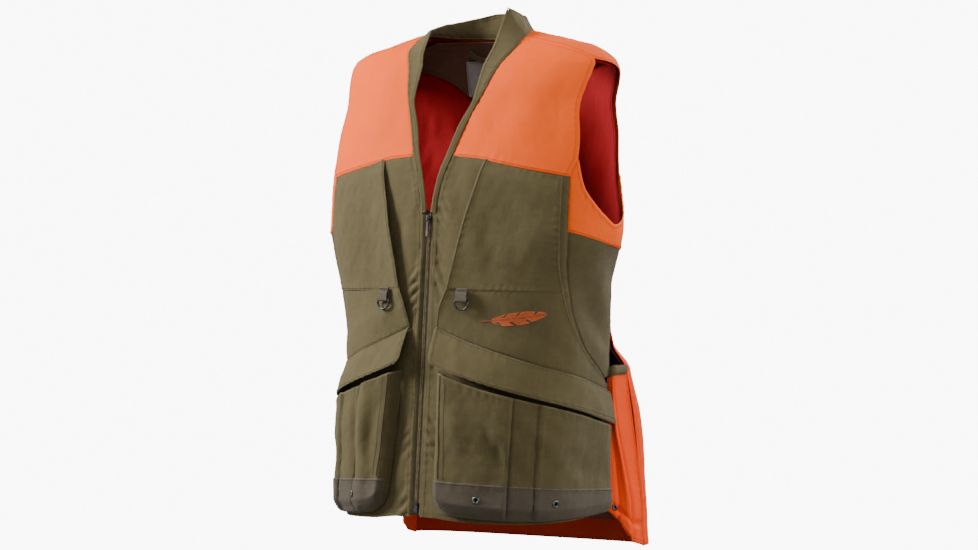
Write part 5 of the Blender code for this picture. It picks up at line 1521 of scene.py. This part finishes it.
def make_pull():
    """A moulded tag on a flat metal eye, hanging from the slider's bail."""
    frame_matrix = frame_at(zip_spot(SLIDER_Z), (1, 0, 0), -ZIP_DOWN)
    eye = frame_matrix @ Vector((0.0, 0.0010, 0.0036))
    matrix = frame_at(eye, (1, 0, 0), -ZIP_DOWN)
    loop = [(0.0, 0.0002), (0.0019, 0.0), (0.0023, -0.0010), (0.0023, -0.0050), (0.0015, -0.0062),
            (0.0, -0.0064), (-0.0015, -0.0062), (-0.0023, -0.0050), (-0.0023, -0.0010), (-0.0019, 0.0)]
    path = [matrix @ Vector((x, y, 0.0)) for x, y in loop]
    ring = tube("pull_eye", [tuple(p) for p in path], 0.0005, DARK_METAL, 8, closed=True)
    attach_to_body(ring, "pull")
    # the tag: a rounded strip that swells towards its end, with grip ribs
    rows, sides = 70, 16
    verts = []
    for s in np.linspace(0.0, 1.0, rows):
        y = -0.0056 - 0.0212 * s
        half = 0.0017 + 0.0010 * math.sin(min(1.0, s * 1.25) * math.pi / 2)
        half *= min(1.0, 0.35 + math.sqrt(max(0.0, min(s, 1 - s)) * 9))
        thick = 0.0011 * min(1.0, 0.4 + math.sqrt(max(0.0, min(s, 1 - s)) * 9))
        thick *= 1.0 + 0.16 * math.sin(s * 2 * math.pi * 9) * (0.25 < s < 0.9)
        for k in range(sides):
            a = 2 * math.pi * k / sides
            x = half * math.copysign(abs(math.cos(a)) ** 0.6, math.cos(a))
            h = thick * math.copysign(abs(math.sin(a)) ** 0.8, math.sin(a))
            verts.append(matrix @ Vector((x, y, h)))
    tag = mesh_object("pull_tag", verts, ring_faces(rows, sides), PULL_RUBBER)
    face_outward(tag)
    attach(tag, "pull", "zip_pull")


# ---------------------------------------------------------------- D-rings
RING_X, RING_TOP = 0.0670, CHEST_SEAM - 0.0010
TAB_DROP = 0.0165
TAB_LIFT = 0.0092


def make_d_rings():
    low = RING_TOP - TAB_DROP
    tilt = torso_normal(angle_at(RING_X, low), low)
    for side, tag in SIDES:
        mirror = np.array([side, 1, 1])
        out = tilt * mirror
        across = -np.cross((0, 0, 1), out)
        across /= np.linalg.norm(across)
        up = np.cross(across, out)
        up *= np.sign(up[2])
        base = lifted(angle_at(RING_X, low), low, TAB_LIFT + RING_WIRE + 0.0006 + WEBBING) * mirror
        path = []
        for x in np.linspace(-RING_HALF_WIDTH, RING_HALF_WIDTH, 16)[:-1]:
            path.append(base + across * x)
        for turn in np.linspace(0.0, math.pi, 44):
            x, y = RING_HALF_WIDTH * math.cos(turn), -0.0040 - RING_HALF_WIDTH * 0.9 * math.sin(turn)
            path.append(base + across * x + up * y)
        ring = tube("ring_" + tag, path, RING_WIRE, DARK_METAL, 14, closed=True)
        attach(ring, "d_ring_" + tag, "d_ring_" + tag)
        # webbing: down the front, round the bar and up behind
        radius = RING_WIRE + 0.0007
        side_view = [(-radius, TAB_DROP - 0.001), (-radius, 0.008), (-radius, 0.002)]
        side_view += [(-radius * math.cos(a), -radius * math.sin(a))
                      for a in np.linspace(0.0, math.pi, 12)]
        side_view += [(radius, 0.003), (radius * 0.9, 0.008), (radius * 0.2, 0.013),
                      (-0.0004, TAB_DROP + 0.0005)]
        profile = through([(a, b, 0.0) for a, b in side_view], 90)
        widths = np.linspace(-TAB_HALF_WIDTH, TAB_HALF_WIDTH, 36)
        grid = np.stack([base + out * a + up * b + across[None] * widths[:, None]
                         for a, b, _ in profile])
        loop = Cloth(grid, 1)
        facing = (loop.normal @ out)[-20:].mean()
        loop.side = 1 if facing > 0 else -1
        loop.normal = grid_normals(grid, loop.side)
        loop.raise_by(0.00018 * np.cos(loop.along * 2 * math.pi / 0.0016)
                      * np.cos(loop.up * 2 * math.pi / 0.0011))
        show(loop, "ring_tab_" + tag, 0.0011, WEBBING_CLOTH, ["d_ring_tab_" + tag])
        for distance in (0.0130, 0.0150):
            spots = np.array([base + out * (0.0004 + 0.0016) + up * distance
                              + across * x for x in np.linspace(-0.0078, 0.0078, 12)])
            stitch("dark", (spots, np.repeat(out[None], 12, axis=0)), 0.0026, 0.001)


# ---------------------------------------------------------------- stitched motif
VANE_START = 0.16          # the bare quill takes this share of the feather


def make_motif():
    """A plain embroidered feather where the breast carries a badge."""
    panel = WAIST[1]
    graph = bpy.context.evaluated_depsgraph_get()
    graph.update()
    tree = BVHTree.FromObject(panel, graph)
    start, end = np.array([41.0, -0.4120]), np.array([69.5, -0.4015])
    count = 88
    stem = []
    for i in range(count + 1):
        s = i / count
        place = start + (end - start) * s + np.array([0.0, -0.0034 * math.sin(math.pi * s)])
        stem.append(lifted(place[0], place[1], 0.012))
    stem = np.array(stem)
    tangent = np.gradient(stem, axis=0)
    tangent /= np.linalg.norm(tangent, axis=1, keepdims=True)
    spots, directions, normals, sizes = [], [], [], []

    def lay(point, direction, length):
        hit = tree.find_nearest(Vector(point))
        if hit[0] is None:
            return
        normal = np.array(hit[1])
        if normal @ np.array([point[0], point[1] + 0.03, 0.0]) < 0:
            normal = -normal
        spots.append(np.array(hit[0]) + normal * 0.0003)
        directions.append(direction)
        normals.append(normal)
        sizes.append(length)

    for i in range(count + 1):
        s = i / count
        normal = torso_normal(*(start + (end - start) * s))
        sideways = np.cross(normal, tangent[i])
        if i % 2 == 0:
            lay(stem[i], tangent[i], 0.0026)
        if s < VANE_START:
            continue
        t = (s - VANE_START) / (1 - VANE_START)
        envelope = math.sin(math.pi * t ** 0.8) ** 0.6 * (1.0 - 0.25 * t)
        for sign, splits in ((1, (0.22, 0.47, 0.78)), (-1, (0.12, 0.36, 0.63))):
            gap = min(abs(t - split) for split in splits)
            reach = 0.0150 * envelope * (1.0 if gap > 0.026 else 0.30)
            if t < 0.12 and i % 2:
                reach *= 0.35
            if reach < 0.0016:
                continue
            direction = tangent[i] * 0.80 + sideways * sign * 0.60
            direction /= np.linalg.norm(direction)
            steps = max(1, int(reach / 0.0024))
            for step in range(steps):
                centre = stem[i] + direction * (0.0013 + (step + 0.5) * reach / steps)
                lay(centre, direction, reach / steps * 1.1)
    obj = thread_mesh("embroidered_feather", [(np.array(spots), np.array(directions),
                                               np.array(normals))], MOTIF_THREAD,
                      np.array(sizes), 0.00046)
    attach(obj, "vest")


def lay_stitches():
    """Turn every row of stitches into thread."""
    materials = {"olive": OLIVE_THREAD, "dark": DARK_THREAD, "orange": ORANGE_THREAD,
                 "red": RED_THREAD, "flap_left": DARK_THREAD, "flap_right": DARK_THREAD}
    for key, material in materials.items():
        rows = STITCHES.get(key)
        if not rows:
            continue
        obj = thread_mesh("stitches_" + key, rows, material)
        blend = STITCHES.get(key + "_blend")
        if blend:
            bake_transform(obj)
        else:
            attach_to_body(obj, "vest")


# ---------------------------------------------------------------- studio
VIEW_AZIMUTH, VIEW_ELEVATION, VIEW_DISTANCE = 35.0, 1.0, 5.5
VIEW_TARGET = Vector((0.0, 0.015, -0.350))
IMAGE_WIDTH = 978
PIXELS_PER_METRE = 685.0
SENSOR = 36.0


def area_light(name, place, target, size, power, colour=(1.0, 1.0, 1.0)):
    light = bpy.data.lights.new(name, "AREA")
    light.shape = "SQUARE"
    light.size = size
    light.energy = power
    light.color = colour
    obj = bpy.data.objects.new(name, light)
    bpy.context.scene.collection.objects.link(obj)
    obj.location = place
    obj.rotation_euler = (Vector(target) - Vector(place)).to_track_quat("-Z", "Y").to_euler()


def make_studio():
    paper = Nodes("studio_paper")
    place = paper.add("ShaderNodeTexCoord").outputs["Object"]
    tone = paper.noise(place, 3.0, 2.0)
    paper.link(paper.mix(tone, (0.90, 0.90, 0.90), (0.93, 0.93, 0.93)), "Base Color")
    paper.shader.inputs["Roughness"].default_value = 0.95
    paper.shader.inputs["Emission Color"].default_value = (1.0, 1.0, 1.0, 1.0)
    paper.shader.inputs["Emission Strength"].default_value = GLOW
    # a round sweep: flat under the vest and rising far off, all round
    profile = [(0.001, -1.25), (9.0, -1.25), (10.5, -1.1), (11.8, -0.6), (12.6, 0.4), (13.0, 2.0),
               (13.1, 6.0)]
    turn = np.linspace(0, 2 * math.pi, 96, endpoint=False)
    verts = [(r * math.cos(a), r * math.sin(a), h) for a in turn for r, h in profile]
    faces = []
    for i in range(len(turn)):
        j = (i + 1) % len(turn)
        for k in range(len(profile) - 1):
            faces.append((i * 7 + k, i * 7 + k + 1, j * 7 + k + 1, j * 7 + k))
    floor = mesh_object("studio_floor", verts, faces, paper.material)
    # the paper glows by itself, and that glow doesn't light the vest
    floor.visible_diffuse = False
    floor.visible_glossy = False
    world = bpy.data.worlds.new("studio")
    world.use_nodes = True
    background = world.node_tree.nodes["Background"]
    background.inputs["Color"].default_value = (1.0, 1.0, 1.0, 1.0)
    background.inputs["Strength"].default_value = WORLD_STRENGTH
    bpy.context.scene.world = world
    for name, place, size, power in LIGHTS:
        area_light(name, place, VEST_MIDDLE, size, power)

    camera = bpy.data.cameras.new("camera")
    camera.sensor_width = SENSOR
    camera.lens = VIEW_DISTANCE * PIXELS_PER_METRE * SENSOR / IMAGE_WIDTH
    azimuth, elevation = math.radians(VIEW_AZIMUTH), math.radians(VIEW_ELEVATION)
    away = Vector((math.sin(azimuth) * math.cos(elevation), -math.cos(azimuth) * math.cos(elevation),
                   math.sin(elevation)))
    obj = bpy.data.objects.new("camera", camera)
    bpy.context.scene.collection.objects.link(obj)
    obj.location = VIEW_TARGET + away * VIEW_DISTANCE
    obj.rotation_euler = (-away).to_track_quat("-Z", "Y").to_euler()
    bpy.context.scene.camera = obj


WORLD_STRENGTH = 0.38
VEST_MIDDLE = (0.0, 0.0, -0.35)
# name, place, size and power
LIGHTS = (("key", (-2.3, -1.65, 1.2), 1.1, 215.0), ("fill", (1.9, -2.8, 1.5), 1.6, 22.0),
          ("side", (2.9, 0.3, 0.6), 1.4, 60.0), ("back", (0.9, 3.0, 1.2), 1.8, 90.0),
          ("top", (0.2, 0.6, 2.6), 1.8, 22.0))
GLOW = 9.0                 # brightness of the studio paper

for make in (make_yokes, make_fronts, make_sides, make_back, make_linings,
             make_neck, make_overlays, make_pockets, make_flaps, make_bag,
             make_zip, make_pull, make_d_rings, make_motif, lay_stitches, make_studio):
    make()
